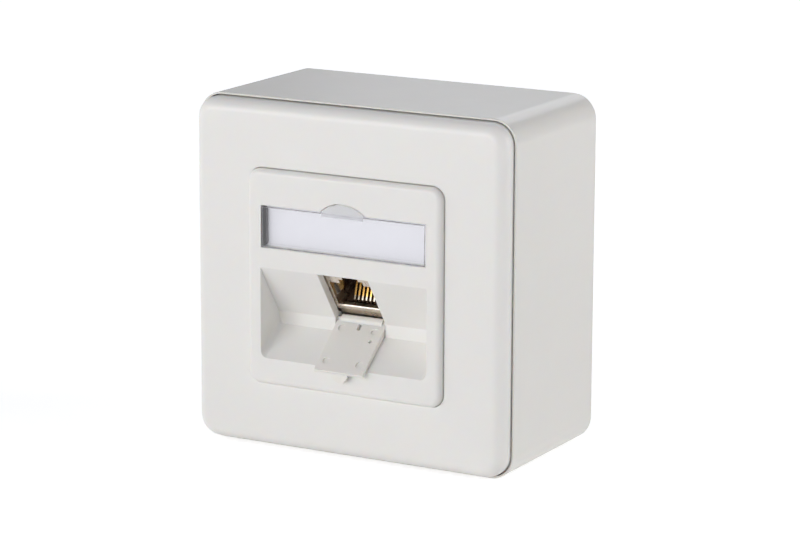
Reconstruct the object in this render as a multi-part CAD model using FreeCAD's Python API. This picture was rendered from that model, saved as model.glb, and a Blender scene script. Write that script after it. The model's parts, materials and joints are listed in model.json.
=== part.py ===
"""Surface mount jack box: an 80 mm wall box with a cover frame, a centre plate and one slanted data jack.

Frame: millimetres, +X right, +Y into the wall, +Z up. The origin is the centre of the back face,
where the box meets the wall. The front of the box looks along -Y.

Slanted pieces are drawn in the slant's own axes and set in place by tilted(): there x is +X,
y is the depth behind the slanted face, and z runs up the slant from its top edge.
"""
import FreeCAD, Part
import math
import os

V = FreeCAD.Vector

# ---- driving dimensions, mm ------------------------------------------------------------------
# surface box
FRAME_SIDE = 80.0            # cover frame, outside
REBATE_GAP = 0.2             # play of the frame in the box's rebate, each side
LIP = 0.5                    # thin rim that surrounds the frame
REBATE_DEPTH = 3.0           # how far the frame sits into the rim
BOX_DEPTH = 40.0             # wall to rim
BOX_WALL = 2.2
BOX_BACK = 2.4
BOX_CORNER_R = 5.7
BOX_EDGE = 0.4               # bevel of the back edges
BOSS_SPACING = 60.0          # device screws, standard wall box spacing
BOSS_R = 3.6
BOSS_WEB = 1.6
WALL_SCREW_SPACING = 60.0
WALL_SCREW_R = 2.25
ENTRY_R = 11.0               # rear cable entry
SCORE_WIDTH = 0.8            # breakout lines cut into the inside of the walls
SCORE_DEPTH = 1.3
SCORE_LEAD = 0.1             # scores start this far inside the wall's face
BREAKOUT_WIDTH = 20.0
BREAKOUT_HEIGHT = 16.0
CORNER_RIB = 1.4
CORNER_RIB_REACH = 4.0
BOSS_TOP_DROP = 1.0          # boss tops below the ledge the frame rests on
LAP = 0.5                    # how far a rib or post runs into what it stands on

# cover frame
FRAME_PROUD = 4.0            # front of the frame ahead of the box rim
FRAME_WALL = 1.8
FRAME_SKIRT = 1.6
FRAME_CORNER_R = 5.0
FRAME_EDGE_R = 2.8           # rounding of the front edge
FRAME_LEDGE = 1.5            # thickness of the ledge that carries the centre plate
FRAME_MOUTH_BEVEL = 0.35

# centre plate
PLATE_SIDE = 50.0
PLATE_GAP = 0.1
PLATE_PROUD = 1.5            # front of the plate ahead of the frame
PLATE_WALL = 1.8
PLATE_CORNER_R = 3.0
PLATE_EDGE_R = 1.3

# recess in the centre plate
RECESS_HALF = 21.5
RECESS_TOP = 2.2             # height of the slant's top edge
RECESS_BOTTOM = -18.8        # height of the floor's front edge
RECESS_DEPTH = 8.1
SLANT_ANGLE = 35.0           # slanted face, from the vertical
STRIP_HEIGHT = 3.05          # upright strip between slant and floor
RECESS_WALL = 1.9
RECESS_SIDE_WALL = 1.5
RECESS_FLOOR_R = 1.5         # rounding between floor and side walls
CUT_PAST = 6.0               # cutting shapes run this far past what they cut
CUT_OVER = 1.0               # and this far over a thin wall

# jack opening and dust flap
OPENING_HALF = 6.5
FLAP_SIDE_GAP = 0.15
FLAP_TOP_GAP = 0.4
BARREL_R = 1.0
BARREL_ROOM = 0.35           # free space round the barrel
FLOOR_GAP = 0.1              # under the open flap
FLAP_ROOT = 1.5              # flap thickness at the hinge
FLAP_TIP = 0.75              # flap thickness at the free end
PIN_R = 0.6
PIN_LENGTH = 1.3
PIN_GAP = 0.05
EAR_R = 1.7
EAR_THICK = 1.6
LUG_R = 2.2
LUG_THICK = 0.5
LUG_LEVEL = 0.8              # lug's flat top, as a share of the flap's thickness at the tip
FLAP_CORNER = 1.0            # bevelled corners beside the barrel
BARREL_INSET = 1.0           # barrel ends inside the flap's sides

# label field
LABEL_HALF = 21.3
LABEL_LOW = 6.95
LABEL_HIGH = 16.7
LABEL_DEPTH = 2.2
LABEL_WALL = 1.2
LABEL_FLOOR = 1.5
CARD_THICK = 0.3
CARD_GAP = 0.2
WINDOW_GAP = 0.15
WINDOW_SHEET = 0.9
WINDOW_RIM = 0.7
TAB_HALF = 5.6               # half-moon finger tab on the window's upper edge
TAB_RISE = 2.05
TAB_THICK = 0.6
TAB_BAR = 1.0                # bar across the window below the tab
TAB_BAR_HALF = 5.3
TAB_LAP = 0.2                # bar into the tab
SCOOP_GAP = 0.3

# support ring and its screws
RING_GAP = 3.0               # ring to the box's inside walls
RING_THICK = 1.2
RING_CORNER_R = 6.0
RING_WINDOW_GAP = 1.0         # ring window to the back of the recess, each side
RING_WINDOW_LOW = -23.0
RING_WINDOW_HIGH = 8.9
RING_SLOT_R = 1.8
RING_SLOT_TRAVEL = 3.0
RING_FLANGE = 3.0
RING_FLANGE_HALF = 25.0
DEVICE_SCREW_R = 1.55
DEVICE_SCREW_HEAD_R = 2.9
DEVICE_SCREW_HEAD = 1.9
DEVICE_SCREW_LENGTH = 14.0   # hole in the boss
SCREW_GAP = 0.05
SCREW_END_ROOM = 0.5         # screw tips to the bottom of their holes
CROSS_DEPTH = 0.6            # depth of the cross recess, as a share of the head's height
CROSS_REACH = 0.55           # half length of the cross, as a share of the head's radius
CROSS_WIDTH = 0.55
PLATE_SCREW_R = 1.45
PLATE_SCREW_HEAD_R = 2.9
PLATE_SCREW_HEAD = 1.45
PLATE_SCREW_BEYOND = 0.8     # tip past the support ring
POST_R = 3.2

# jack module, in the slant's axes: across x, depth t behind the slanted face, s down the slant
JACK_FRONT = 2.1
JACK_HALF = 7.9
JACK_TOP = 1.0
JACK_BOTTOM = 14.8
SHOULDER_BOTTOM = 13.0       # foot of the wide front part, clear of the hinge ears
JAW_HALF = 6.1               # narrow lower part, between the ears
JAW_BEVEL = 0.4
JACK_LENGTH = 14.9
MOUTH_HALF = 5.9
MOUTH_TOP = 4.4
MOUTH_BOTTOM = 11.75
MOUTH_EDGE_R = 0.5
NOTCH_HALF = 3.05
NOTCH_TOP = 3.2
LATCH_HALF = 2.0
LATCH_TOP = 2.4
NOTCH_DEPTH = 8.0
BAY_HALF = 5.4
BAY_BOTTOM = 14.2
BAY_FRONT = 3.3
CHEEK_GAP = 0.2              # jack to the plate's cheeks
CHEEK_THICK = 1.5
CHEEK_LENGTH = 8.3
CHEEK_TOP = 1.5
CHEEK_FOOT = 1.0             # cheek's lower end above the slant's foot
NOSE = 0.9                   # latch noses on the jack's sides
NOSE_FRONT = 6.0
NOSE_LENGTH = 2.0
NOSE_FLAT = 0.6
NOSE_TOP = 5.8
NOSE_BOTTOM = 9.0
NOSE_GAP = 0.15

CONTACTS = 8
CONTACT_PITCH = 1.02
CONTACT_WIDTH = 0.45
CONTACT_THICK = 0.34
CONTACT_RISE = 5.9
CONTACT_FRONT = 5.3          # depth of the bend nearest the mouth
CONTACT_LEVEL = 13.7         # s of the straight run
CONTACT_REACH = 12.6         # depth of the sprung end
CARRIER_SLOT = 0.55
CARRIER_FRONT = 4.6
CARRIER_TOP = 12.8           # s of the slotted floor's top
CARRIER_BACK_WALL = 3.4
CARRIER_GAP = 0.1
BOARD_GAP = 0.1
BOARD_THICK = 1.6
BOARD_HALF = 6.7
TAIL = 0.5                   # contact tails through the board
SHELL_WALL = 1.0
SHELL_LENGTH = 13.0
SHELL_GAP = 0.1              # shell to the board's edges and to the wire cap
CABLE_HOLE_R = 3.6
IDC_LENGTH = 5.0
IDC_ROWS = (4.4, 9.8)        # s of the two rows of wire slots
IDC_PITCH = 2.6
IDC_BLADE = 0.5
IDC_BLADE_WIDTH = 1.9
IDC_BLOCK_GAP = 0.2          # block to the contact tails
IDC_INSET = 0.3              # block and cap narrower than the board, each side
IDC_TOP_INSET = 0.4
IDC_FOOT = 0.9               # block's foot above the bay's
IDC_BLADE_DROP = 0.4         # blade's end below the block's back
IDC_FORK_DEPTH = 2.6
IDC_FORK_HALF = 0.2
CAP_HOLE_R = 3.0             # cable hole in the cap
SPRING_THICK = 0.2
SPRING_BOW = 0.35
SPRING_SET = 1.0             # behind the jack's front
SPRING_LENGTH = 5.0
SPRING_FOOT = 0.9            # flat foot at each end
SPRING_WIDTH = 3.0
EARTH_TAB_WIDTH = 4.8
EARTH_TAB_THICK = 0.8
EARTH_TAB_LENGTH = 7.0
EARTH_TAB_LAP = 3.0          # overlap with the shell's back

# cable clamp on the back wall
CLAMP_HALF = 9.0
CLAMP_Z = -22.0
CLAMP_POST_HALF = 3.0
CLAMP_POST = 5.0
CLAMP_THICK = 1.6
CLAMP_WIDTH = 7.0
CLAMP_ARCH_R = 4.2
CLAMP_SCREW_R = 1.4
CLAMP_SCREW_HEAD_R = 2.5
CLAMP_SCREW_HEAD = 1.6
CLAMP_SCREW_LENGTH = 6.0     # strap and hole together

# ---- planes and places worked out from them ----------------------------------------------------
BOX_SIDE = FRAME_SIDE + 2 * (REBATE_GAP + LIP)
BOX_INSIDE = BOX_SIDE - 2 * BOX_WALL
RING_SIDE = BOX_INSIDE - 2 * RING_GAP
RIM_Y = -BOX_DEPTH
SEAT_Y = RIM_Y + REBATE_DEPTH                    # ledge in the box that the frame rests on
FRAME_Y = RIM_Y - FRAME_PROUD
PLATE_Y = FRAME_Y - PLATE_PROUD
PLATE_MOUTH = PLATE_SIDE + 2 * PLATE_GAP         # opening in the frame
PLATE_HOLLOW = PLATE_SIDE - 2 * PLATE_WALL
LEDGE_Y = FRAME_Y + FRAME_WALL + PLATE_GAP       # front of the frame's ledge
LABEL_Y = PLATE_Y + LABEL_DEPTH
LABEL_BACK_Y = LABEL_Y + LABEL_FLOOR
LABEL_Z = (LABEL_LOW + LABEL_HIGH) / 2
RING_BACK_Y = SEAT_Y + BOSS_TOP_DROP             # the ring lies on the boss tops
RING_Y = RING_BACK_Y - RING_THICK
JACK_BACK = JACK_FRONT + JACK_LENGTH
BOARD_FRONT = JACK_BACK + BOARD_GAP
BOARD_BACK = BOARD_FRONT + BOARD_THICK
SHELL_BACK = JACK_BACK + SHELL_LENGTH
IDC_FRONT = BOARD_BACK + TAIL + IDC_BLOCK_GAP
IDC_SPAN = (JACK_TOP + SHELL_WALL + IDC_TOP_INSET, BAY_BOTTOM - IDC_FOOT)

SLANT = math.radians(SLANT_ANGLE)
SLANT_DOWN = (math.sin(SLANT), -math.cos(SLANT))     # (y, z) down the slanted face
SLANT_IN = (math.cos(SLANT), math.sin(SLANT))        # (y, z) into the plate
SLANT_LENGTH = RECESS_DEPTH / math.sin(SLANT)
TOP_EDGE = (PLATE_Y, RECESS_TOP)
STRIP_Y = PLATE_Y + RECESS_DEPTH
STRIP_TOP = (STRIP_Y, RECESS_TOP - SLANT_LENGTH * math.cos(SLANT))
STRIP_FOOT = (STRIP_Y, STRIP_TOP[1] - STRIP_HEIGHT)
FLOOR_EDGE = (PLATE_Y, RECESS_BOTTOM)
FLOOR = math.atan2(STRIP_FOOT[1] - FLOOR_EDGE[1], RECESS_DEPTH)
FLOOR_OUT = (-math.cos(FLOOR), -math.sin(FLOOR))     # (y, z) down the floor, outwards
FLOOR_UP = (-math.sin(FLOOR), math.cos(FLOOR))       # (y, z) square to the floor


def hinge_place():
    """The pin's (y, z): BARREL_R behind the slanted face and the same, plus the gap, above the floor."""
    a, b = SLANT_IN
    c, d = FLOOR_UP
    behind = BARREL_R + a * TOP_EDGE[0] + b * TOP_EDGE[1]
    above = BARREL_R + FLOOR_GAP + c * FLOOR_EDGE[0] + d * FLOOR_EDGE[1]
    det = a * d - b * c
    return (behind * d - b * above) / det, (a * above - c * behind) / det


HINGE = hinge_place()
HINGE_S = (HINGE[0] - TOP_EDGE[0]) * SLANT_DOWN[0] + (HINGE[1] - TOP_EDGE[1]) * SLANT_DOWN[1]
FLAP_LENGTH = HINGE_S - FLAP_TOP_GAP
FLAP_HALF = OPENING_HALF - FLAP_SIDE_GAP


# ---- helpers -----------------------------------------------------------------------------------
def block(x, y, z):
    """A box from three (low, high) pairs."""
    return Part.makeBox(x[1] - x[0], y[1] - y[0], z[1] - z[0], V(x[0], y[0], z[0]))


def slab(half, t, s):
    """A box in the slant's axes: across +-half, depth t, and s down the slant."""
    return block((-half, half), t, (-s[1], -s[0]))


def rounded_square(side, radius, y0, y1):
    """A square plate with round corners, centred on the Y axis, between two depths."""
    body = block((-side / 2, side / 2), (y0, y1), (-side / 2, side / 2))
    uprights = [e for e in body.Edges if abs(e.Vertexes[0].Y - e.Vertexes[-1].Y) > (y1 - y0) / 2]
    return body.makeFillet(radius, uprights)


def disc(radius, x, z, y0, y1):
    """A cylinder along Y from y0 to y1."""
    return Part.makeCylinder(radius, y1 - y0, V(x, y0, z), V(0, 1, 0))


def rod(radius, x0, x1, y, z):
    """A cylinder along X from x0 to x1."""
    return Part.makeCylinder(radius, x1 - x0, V(x0, y, z), V(1, 0, 0))


def prism(points, half):
    """A (y, z) outline extruded across +-half."""
    loop = [V(-half, y, z) for y, z in points]
    return Part.Face(Part.makePolygon(loop + loop[:1])).extrude(V(2 * half, 0, 0))


def edges_at(shape, axis, value):
    """Edges that lie wholly in the plane where one coordinate is value."""
    low, high = axis.upper() + "Min", axis.upper() + "Max"
    return [e for e in shape.Edges
            if abs(getattr(e.BoundBox, low) - value) < 1e-3 and abs(getattr(e.BoundBox, high) - value) < 1e-3]


def along(start, *steps):
    """A (y, z) point reached from start by (direction, distance) steps."""
    y, z = start
    for (dy, dz), distance in steps:
        y, z = y + dy * distance, z + dz * distance
    return y, z


def tilted(shape):
    """Set a shape drawn in the slant's axes behind the slanted face."""
    shape = shape.copy()
    shape.rotate(V(0, 0, 0), V(1, 0, 0), SLANT_ANGLE)
    shape.translate(V(0, TOP_EDGE[0], TOP_EDGE[1]))
    return shape


def mirrored_pair(shape):
    """A shape and its mirror image in x, as one compound."""
    return [shape, shape.mirror(V(0, 0, 0), V(1, 0, 0))]


def bare(shape):
    """One clean solid."""
    shape = shape.removeSplitter()
    return shape.Solids[0] if len(shape.Solids) == 1 else shape


# ---- wall box ----------------------------------------------------------------------------------
def surface_box():
    """The five-sided box on the wall, with its rebate, bosses, entry and breakouts."""
    body = rounded_square(BOX_SIDE, BOX_CORNER_R, RIM_Y, 0)
    body = body.makeChamfer(BOX_EDGE, edges_at(body, "y", 0))
    inner_r = BOX_CORNER_R - BOX_WALL
    body = body.cut(rounded_square(BOX_INSIDE, inner_r, RIM_Y, -BOX_BACK))
    body = body.cut(rounded_square(BOX_SIDE - 2 * LIP, BOX_CORNER_R - LIP, RIM_Y, SEAT_Y))
    extras = []
    for side in (-1, 1):
        x = side * BOSS_SPACING / 2
        extras.append(disc(BOSS_R, x, 0, RING_BACK_Y, -BOX_BACK))
        wall = side * (BOX_INSIDE / 2 + LAP)
        extras.append(block(sorted((x, wall)), (RING_BACK_Y, -BOX_BACK), (-BOSS_WEB / 2, BOSS_WEB / 2)))
        post = sorted((side * (CLAMP_HALF - CLAMP_POST_HALF), side * (CLAMP_HALF + CLAMP_POST_HALF)))
        extras.append(block(post, (-BOX_BACK - CLAMP_POST, -BOX_BACK),
                            (CLAMP_Z - CLAMP_POST_HALF, CLAMP_Z + CLAMP_POST_HALF)))
    extras += corner_ribs()
    body = body.fuse(extras)
    holes = [disc(ENTRY_R, 0, 0, -BOX_BACK, 0)]
    for side in (-1, 1):
        screw_end = RING_BACK_Y + DEVICE_SCREW_LENGTH
        holes.append(disc(DEVICE_SCREW_R + SCREW_GAP, side * BOSS_SPACING / 2, 0, RING_BACK_Y, screw_end))
        holes.append(disc(WALL_SCREW_R, 0, side * WALL_SCREW_SPACING / 2, -BOX_BACK, 0))
        post_top = -BOX_BACK - CLAMP_POST
        holes.append(disc(CLAMP_SCREW_R + SCREW_GAP, side * CLAMP_HALF, CLAMP_Z,
                          post_top, post_top + CLAMP_SCREW_LENGTH - CLAMP_THICK))
    return bare(body.cut(holes + breakout_scores()))


def corner_ribs():
    """Upright ribs that stiffen the four inside corners below the ring."""
    ribs = []
    reach = BOX_INSIDE / 2 - CORNER_RIB_REACH
    for sx in (-1, 1):
        for sz in (-1, 1):
            x = sorted((sx * reach, sx * (reach + CORNER_RIB)))
            z = sorted((sz * reach, sz * (BOX_INSIDE / 2 + LAP)))
            ribs.append(block(x, (SEAT_Y + REBATE_DEPTH, -BOX_BACK), z))
    return ribs


def breakout_scores():
    """U-shaped thinned lines inside the top and bottom walls, where a cable duct can be let in."""
    depth = (-BOX_BACK - BREAKOUT_HEIGHT - SCORE_WIDTH, -BOX_BACK)
    half = BREAKOUT_WIDTH / 2
    scores = []
    for side in (-1, 1):
        z = sorted((side * (BOX_INSIDE / 2 - SCORE_LEAD), side * (BOX_INSIDE / 2 + SCORE_DEPTH)))
        outer = block((-half - SCORE_WIDTH, half + SCORE_WIDTH), depth, z)
        scores.append(outer.cut(block((-half, half), (-BOX_BACK - BREAKOUT_HEIGHT, 0), z)))
    return scores


# ---- cover frame and centre plate --------------------------------------------------------------
def cover_frame():
    """The square frame: rounded front, skirt into the box, ledge for the centre plate."""
    body = rounded_square(FRAME_SIDE, FRAME_CORNER_R, FRAME_Y, SEAT_Y)
    body = body.makeFillet(FRAME_EDGE_R, edges_at(body, "y", FRAME_Y))
    inside = FRAME_SIDE - 2 * FRAME_SKIRT
    hollow = rounded_square(inside, FRAME_CORNER_R - FRAME_SKIRT, FRAME_Y + FRAME_WALL, SEAT_Y)
    mouth_r = PLATE_CORNER_R + PLATE_GAP
    collar = rounded_square(PLATE_MOUTH + 2 * FRAME_WALL, mouth_r + FRAME_WALL,
                            FRAME_Y + FRAME_WALL, LEDGE_Y + FRAME_LEDGE)
    body = body.cut(hollow.cut(collar))
    body = body.cut(rounded_square(PLATE_MOUTH, mouth_r, FRAME_Y, LEDGE_Y))
    body = body.cut(rounded_square(PLATE_HOLLOW, PLATE_CORNER_R - PLATE_WALL, LEDGE_Y, LEDGE_Y + FRAME_LEDGE))
    reach = PLATE_MOUTH / 2 + PLATE_GAP
    mouth = [e for e in edges_at(body, "y", FRAME_Y) if e.BoundBox.XMin > -reach and e.BoundBox.XMax < reach
             and e.BoundBox.ZMin > -reach and e.BoundBox.ZMax < reach]
    return bare(body.makeChamfer(FRAME_MOUTH_BEVEL, mouth))


def recess_outline(wall=0.0):
    """(y, z) outline of the recess, grown by a wall, and open well ahead of the plate's front."""
    strip_y = STRIP_Y + wall
    top = along(TOP_EDGE, (SLANT_IN, wall))
    low = along(FLOOR_EDGE, (FLOOR_UP, -wall))
    slant_run = (strip_y - top[0]) / SLANT_DOWN[0]
    floor_run = (low[0] - strip_y) / FLOOR_OUT[0]
    return [along(top, (SLANT_DOWN, -CUT_PAST / SLANT_DOWN[0])), along(top, (SLANT_DOWN, slant_run)),
            along(low, (FLOOR_OUT, -floor_run)), along(low, (FLOOR_OUT, CUT_PAST / -FLOOR_OUT[0]))]


def recess_cut():
    """The recess itself: upright face above, slant, strip and floor, its floor edges rounded."""
    body = prism(recess_outline(), RECESS_HALF)
    ahead = block((-RECESS_HALF, RECESS_HALF), (PLATE_Y - BOX_DEPTH, STRIP_Y),
                  (RECESS_BOTTOM - BOX_DEPTH, RECESS_TOP))
    body = body.common(ahead)
    floor_edges = []
    for edge in body.Edges:
        ends = [v.Point for v in edge.Vertexes]
        on_side = abs(ends[0].x - ends[-1].x) < 1e-3 and abs(abs(ends[0].x) - RECESS_HALF) < 1e-3
        on_floor = all(abs((p.y - FLOOR_EDGE[0]) * FLOOR_UP[0] + (p.z - FLOOR_EDGE[1]) * FLOOR_UP[1]) < 1e-3
                       for p in ends)
        if on_side and on_floor:
            floor_edges.append(edge)
    return body.makeFillet(RECESS_FLOOR_R, floor_edges)


def opening_cut():
    """The jack opening through slant and strip, with room for the flap to turn."""
    foot = along(STRIP_FOOT, (FLOOR_OUT, -CUT_PAST))
    behind = RECESS_WALL + CUT_OVER
    points = [along(TOP_EDGE, (SLANT_IN, -CUT_OVER)), along(TOP_EDGE, (SLANT_IN, behind)),
              along(TOP_EDGE, (SLANT_IN, behind), (SLANT_DOWN, SLANT_LENGTH)), foot, STRIP_FOOT,
              (STRIP_FOOT[0] - CUT_OVER, STRIP_FOOT[1]), along(STRIP_TOP, (SLANT_IN, -CUT_OVER))]
    room = BARREL_R + BARREL_ROOM
    return prism(points, OPENING_HALF).fuse(rod(room, -OPENING_HALF, OPENING_HALF, *HINGE))


def label_outline(grow, y0, y1):
    """A plate over the label field, grown by a margin."""
    return block((-LABEL_HALF - grow, LABEL_HALF + grow), (y0, y1), (LABEL_LOW - grow, LABEL_HIGH + grow))


def half_moon(half, rise, y0, y1):
    """A segment of a round disc standing on the label field's upper edge."""
    radius = (half ** 2 + rise ** 2) / (2 * rise)
    whole = disc(radius, 0, LABEL_HIGH + rise - radius, y0, y1)
    return whole.common(block((-half, half), (y0, y1), (LABEL_HIGH, LABEL_HIGH + rise + CUT_OVER)))


def centre_plate():
    """The 50 mm plate: label field, recess with the jack opening, cheeks, hinge ears and screw post."""
    body = rounded_square(PLATE_SIDE, PLATE_CORNER_R, PLATE_Y, LEDGE_Y)
    body = body.makeFillet(PLATE_EDGE_R, edges_at(body, "y", PLATE_Y))
    body = body.cut(rounded_square(PLATE_HOLLOW, PLATE_CORNER_R - PLATE_WALL, PLATE_Y + PLATE_WALL, LEDGE_Y))
    behind = block((-PLATE_HOLLOW / 2, PLATE_HOLLOW / 2), (PLATE_Y + PLATE_WALL / 2, 0),
                   (-PLATE_HOLLOW / 2, PLATE_HOLLOW / 2))
    shell = prism(recess_outline(RECESS_WALL), RECESS_HALF + RECESS_SIDE_WALL).common(behind)
    label_back = label_outline(LABEL_WALL, PLATE_Y + PLATE_WALL / 2, LABEL_BACK_Y)
    post = disc(POST_R, 0, LABEL_Z, LABEL_BACK_Y - LAP, RING_Y)
    body = body.fuse([shell, label_back, post] + cheeks() + hinge_ears())
    head_y = LABEL_Y + PLATE_SCREW_HEAD
    cone = Part.makeCone(PLATE_SCREW_HEAD_R + SCREW_GAP, PLATE_SCREW_R + SCREW_GAP, PLATE_SCREW_HEAD,
                         V(0, LABEL_Y, LABEL_Z), V(0, 1, 0))
    cuts = [recess_cut(), opening_cut(), label_outline(0, PLATE_Y, LABEL_Y), cone,
            disc(PLATE_SCREW_R + SCREW_GAP, 0, LABEL_Z, head_y, RING_Y),
            half_moon(TAB_HALF + SCOOP_GAP, TAB_RISE + SCOOP_GAP, PLATE_Y, PLATE_Y + TAB_THICK + SCOOP_GAP),
            rod(PIN_R + PIN_GAP, -OPENING_HALF - EAR_THICK, OPENING_HALF + EAR_THICK, *HINGE)]
    return bare(body.cut(cuts))


def cheeks():
    """Two walls behind the slant that hold the jack, each with a window for its latch nose."""
    inner = JACK_HALF + CHEEK_GAP
    wall = block((inner, inner + CHEEK_THICK), (RECESS_WALL / 2, RECESS_WALL + CHEEK_LENGTH),
                 (-SLANT_LENGTH + CHEEK_FOOT, -CHEEK_TOP))
    window = block((inner - CUT_OVER, inner + CHEEK_THICK + CUT_OVER),
                   (NOSE_FRONT - NOSE_GAP, NOSE_FRONT + NOSE_LENGTH + NOSE_GAP),
                   (-NOSE_BOTTOM - NOSE_GAP, -NOSE_TOP + NOSE_GAP))
    return [tilted(wall) for wall in mirrored_pair(wall.cut(window))]


def hinge_ears():
    """Round ears beside the opening that carry the flap's pins."""
    ear = rod(EAR_R, OPENING_HALF, OPENING_HALF + EAR_THICK, *HINGE)
    return mirrored_pair(ear)


# ---- dust flap ---------------------------------------------------------------------------------
def dust_flap():
    """The wedge-shaped flap, open on the recess floor, with its barrel, pins and finger lug."""
    foot = along(HINGE, (FLOOR_UP, -BARREL_R))
    tip = along(foot, (FLOOR_OUT, FLAP_LENGTH))
    outline = [foot, tip, along(tip, (FLOOR_UP, FLAP_TIP)), along(foot, (FLOOR_UP, FLAP_ROOT))]
    leaf = prism(outline, FLAP_HALF)
    leaf = leaf.makeChamfer(FLAP_CORNER, [e for e in leaf.Edges if abs(e.Length - FLAP_ROOT) < 1e-3])
    body = leaf.fuse(rod(BARREL_R, -FLAP_HALF + BARREL_INSET, FLAP_HALF - BARREL_INSET, *HINGE))
    body = body.fuse(rod(PIN_R, -FLAP_HALF - PIN_LENGTH, FLAP_HALF + PIN_LENGTH, *HINGE))
    level = tip[1] + FLAP_TIP * FLOOR_UP[1] * LUG_LEVEL
    depth = (tip[0], tip[0] + LUG_THICK)
    lug = disc(LUG_R, 0, level, *depth).common(block((-LUG_R, LUG_R), depth, (level - LUG_R, level)))
    return bare(body.fuse(lug))


# ---- label field -------------------------------------------------------------------------------
def label_card():
    """The card strip at the bottom of the label field."""
    return label_outline(-CARD_GAP, LABEL_Y - CARD_THICK, LABEL_Y)


def label_window():
    """The clear cover: a sheet with a rim behind it and a half-moon finger tab above."""
    front = PLATE_Y
    back = LABEL_Y - CARD_THICK
    body = label_outline(-WINDOW_GAP, front, back)
    body = body.cut(label_outline(-WINDOW_GAP - WINDOW_RIM, front + WINDOW_SHEET, back))
    tab = half_moon(TAB_HALF, TAB_RISE, front, front + TAB_THICK)
    bar = block((-TAB_BAR_HALF, TAB_BAR_HALF), (front, back), (LABEL_HIGH - TAB_BAR, LABEL_HIGH - WINDOW_GAP))
    bridge = block((-TAB_BAR_HALF, TAB_BAR_HALF), (front, front + TAB_THICK),
                   (LABEL_HIGH - TAB_BAR, LABEL_HIGH + TAB_LAP))
    return bare(body.fuse([tab, bar, bridge]))


# ---- support ring and screws -------------------------------------------------------------------
def support_ring():
    """The pressed steel ring that is screwed to the box and carries the plate's screw."""
    body = rounded_square(RING_SIDE, RING_CORNER_R, RING_Y, RING_BACK_Y)
    half = RECESS_HALF + RECESS_SIDE_WALL + RING_WINDOW_GAP
    window = block((-half, half), (RING_Y, RING_BACK_Y), (RING_WINDOW_LOW, RING_WINDOW_HIGH))
    cuts = [window, disc(PLATE_SCREW_R + SCREW_GAP, 0, LABEL_Z, RING_Y, RING_BACK_Y)]
    for side in (-1, 1):
        x = side * BOSS_SPACING / 2
        cuts.append(disc(RING_SLOT_R, x, -RING_SLOT_TRAVEL / 2, RING_Y, RING_BACK_Y))
        cuts.append(disc(RING_SLOT_R, x, RING_SLOT_TRAVEL / 2, RING_Y, RING_BACK_Y))
        cuts.append(block((x - RING_SLOT_R, x + RING_SLOT_R), (RING_Y, RING_BACK_Y),
                          (-RING_SLOT_TRAVEL / 2, RING_SLOT_TRAVEL / 2)))
    body = body.cut(cuts)
    lips = []
    for side in (-1, 1):
        z = sorted((side * RING_SIDE / 2, side * (RING_SIDE / 2 - RING_THICK)))
        lips.append(block((-RING_FLANGE_HALF, RING_FLANGE_HALF), (RING_Y, RING_BACK_Y + RING_FLANGE), z))
    return bare(body.fuse(lips))


def cross_slot(x, y, z, depth, reach):
    """A cross recess for the tip of a screwdriver, cut into a head whose front is at y."""
    half = CROSS_WIDTH / 2
    flat = block((x - reach, x + reach), (y, y + depth), (z - half, z + half))
    return flat.fuse(block((x - half, x + half), (y, y + depth), (z - reach, z + reach)))


def head_screw(x, z, seat, head_r, head, shank_r, length):
    """A screw along +Y whose flat head seats at y = seat."""
    screw = disc(head_r, x, z, seat - head, seat).fuse(disc(shank_r, x, z, seat, seat + length))
    return bare(screw.cut(cross_slot(x, seat - head, z, head * CROSS_DEPTH, head_r * CROSS_REACH)))


def ring_screws():
    """The two device screws."""
    length = RING_THICK + DEVICE_SCREW_LENGTH - SCREW_END_ROOM
    screws = [head_screw(side * BOSS_SPACING / 2, 0, RING_Y, DEVICE_SCREW_HEAD_R, DEVICE_SCREW_HEAD,
                        DEVICE_SCREW_R, length) for side in (-1, 1)]
    return Part.makeCompound(screws)


def plate_screw():
    """The countersunk screw behind the label card."""
    tip = RING_BACK_Y + PLATE_SCREW_BEYOND
    head = Part.makeCone(PLATE_SCREW_HEAD_R, PLATE_SCREW_R, PLATE_SCREW_HEAD, V(0, LABEL_Y, LABEL_Z), V(0, 1, 0))
    screw = head.fuse(disc(PLATE_SCREW_R, 0, LABEL_Z, LABEL_Y + PLATE_SCREW_HEAD, tip))
    cross = cross_slot(0, LABEL_Y, LABEL_Z, PLATE_SCREW_HEAD * CROSS_DEPTH, PLATE_SCREW_HEAD_R * CROSS_REACH)
    return bare(screw.cut(cross))


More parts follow.
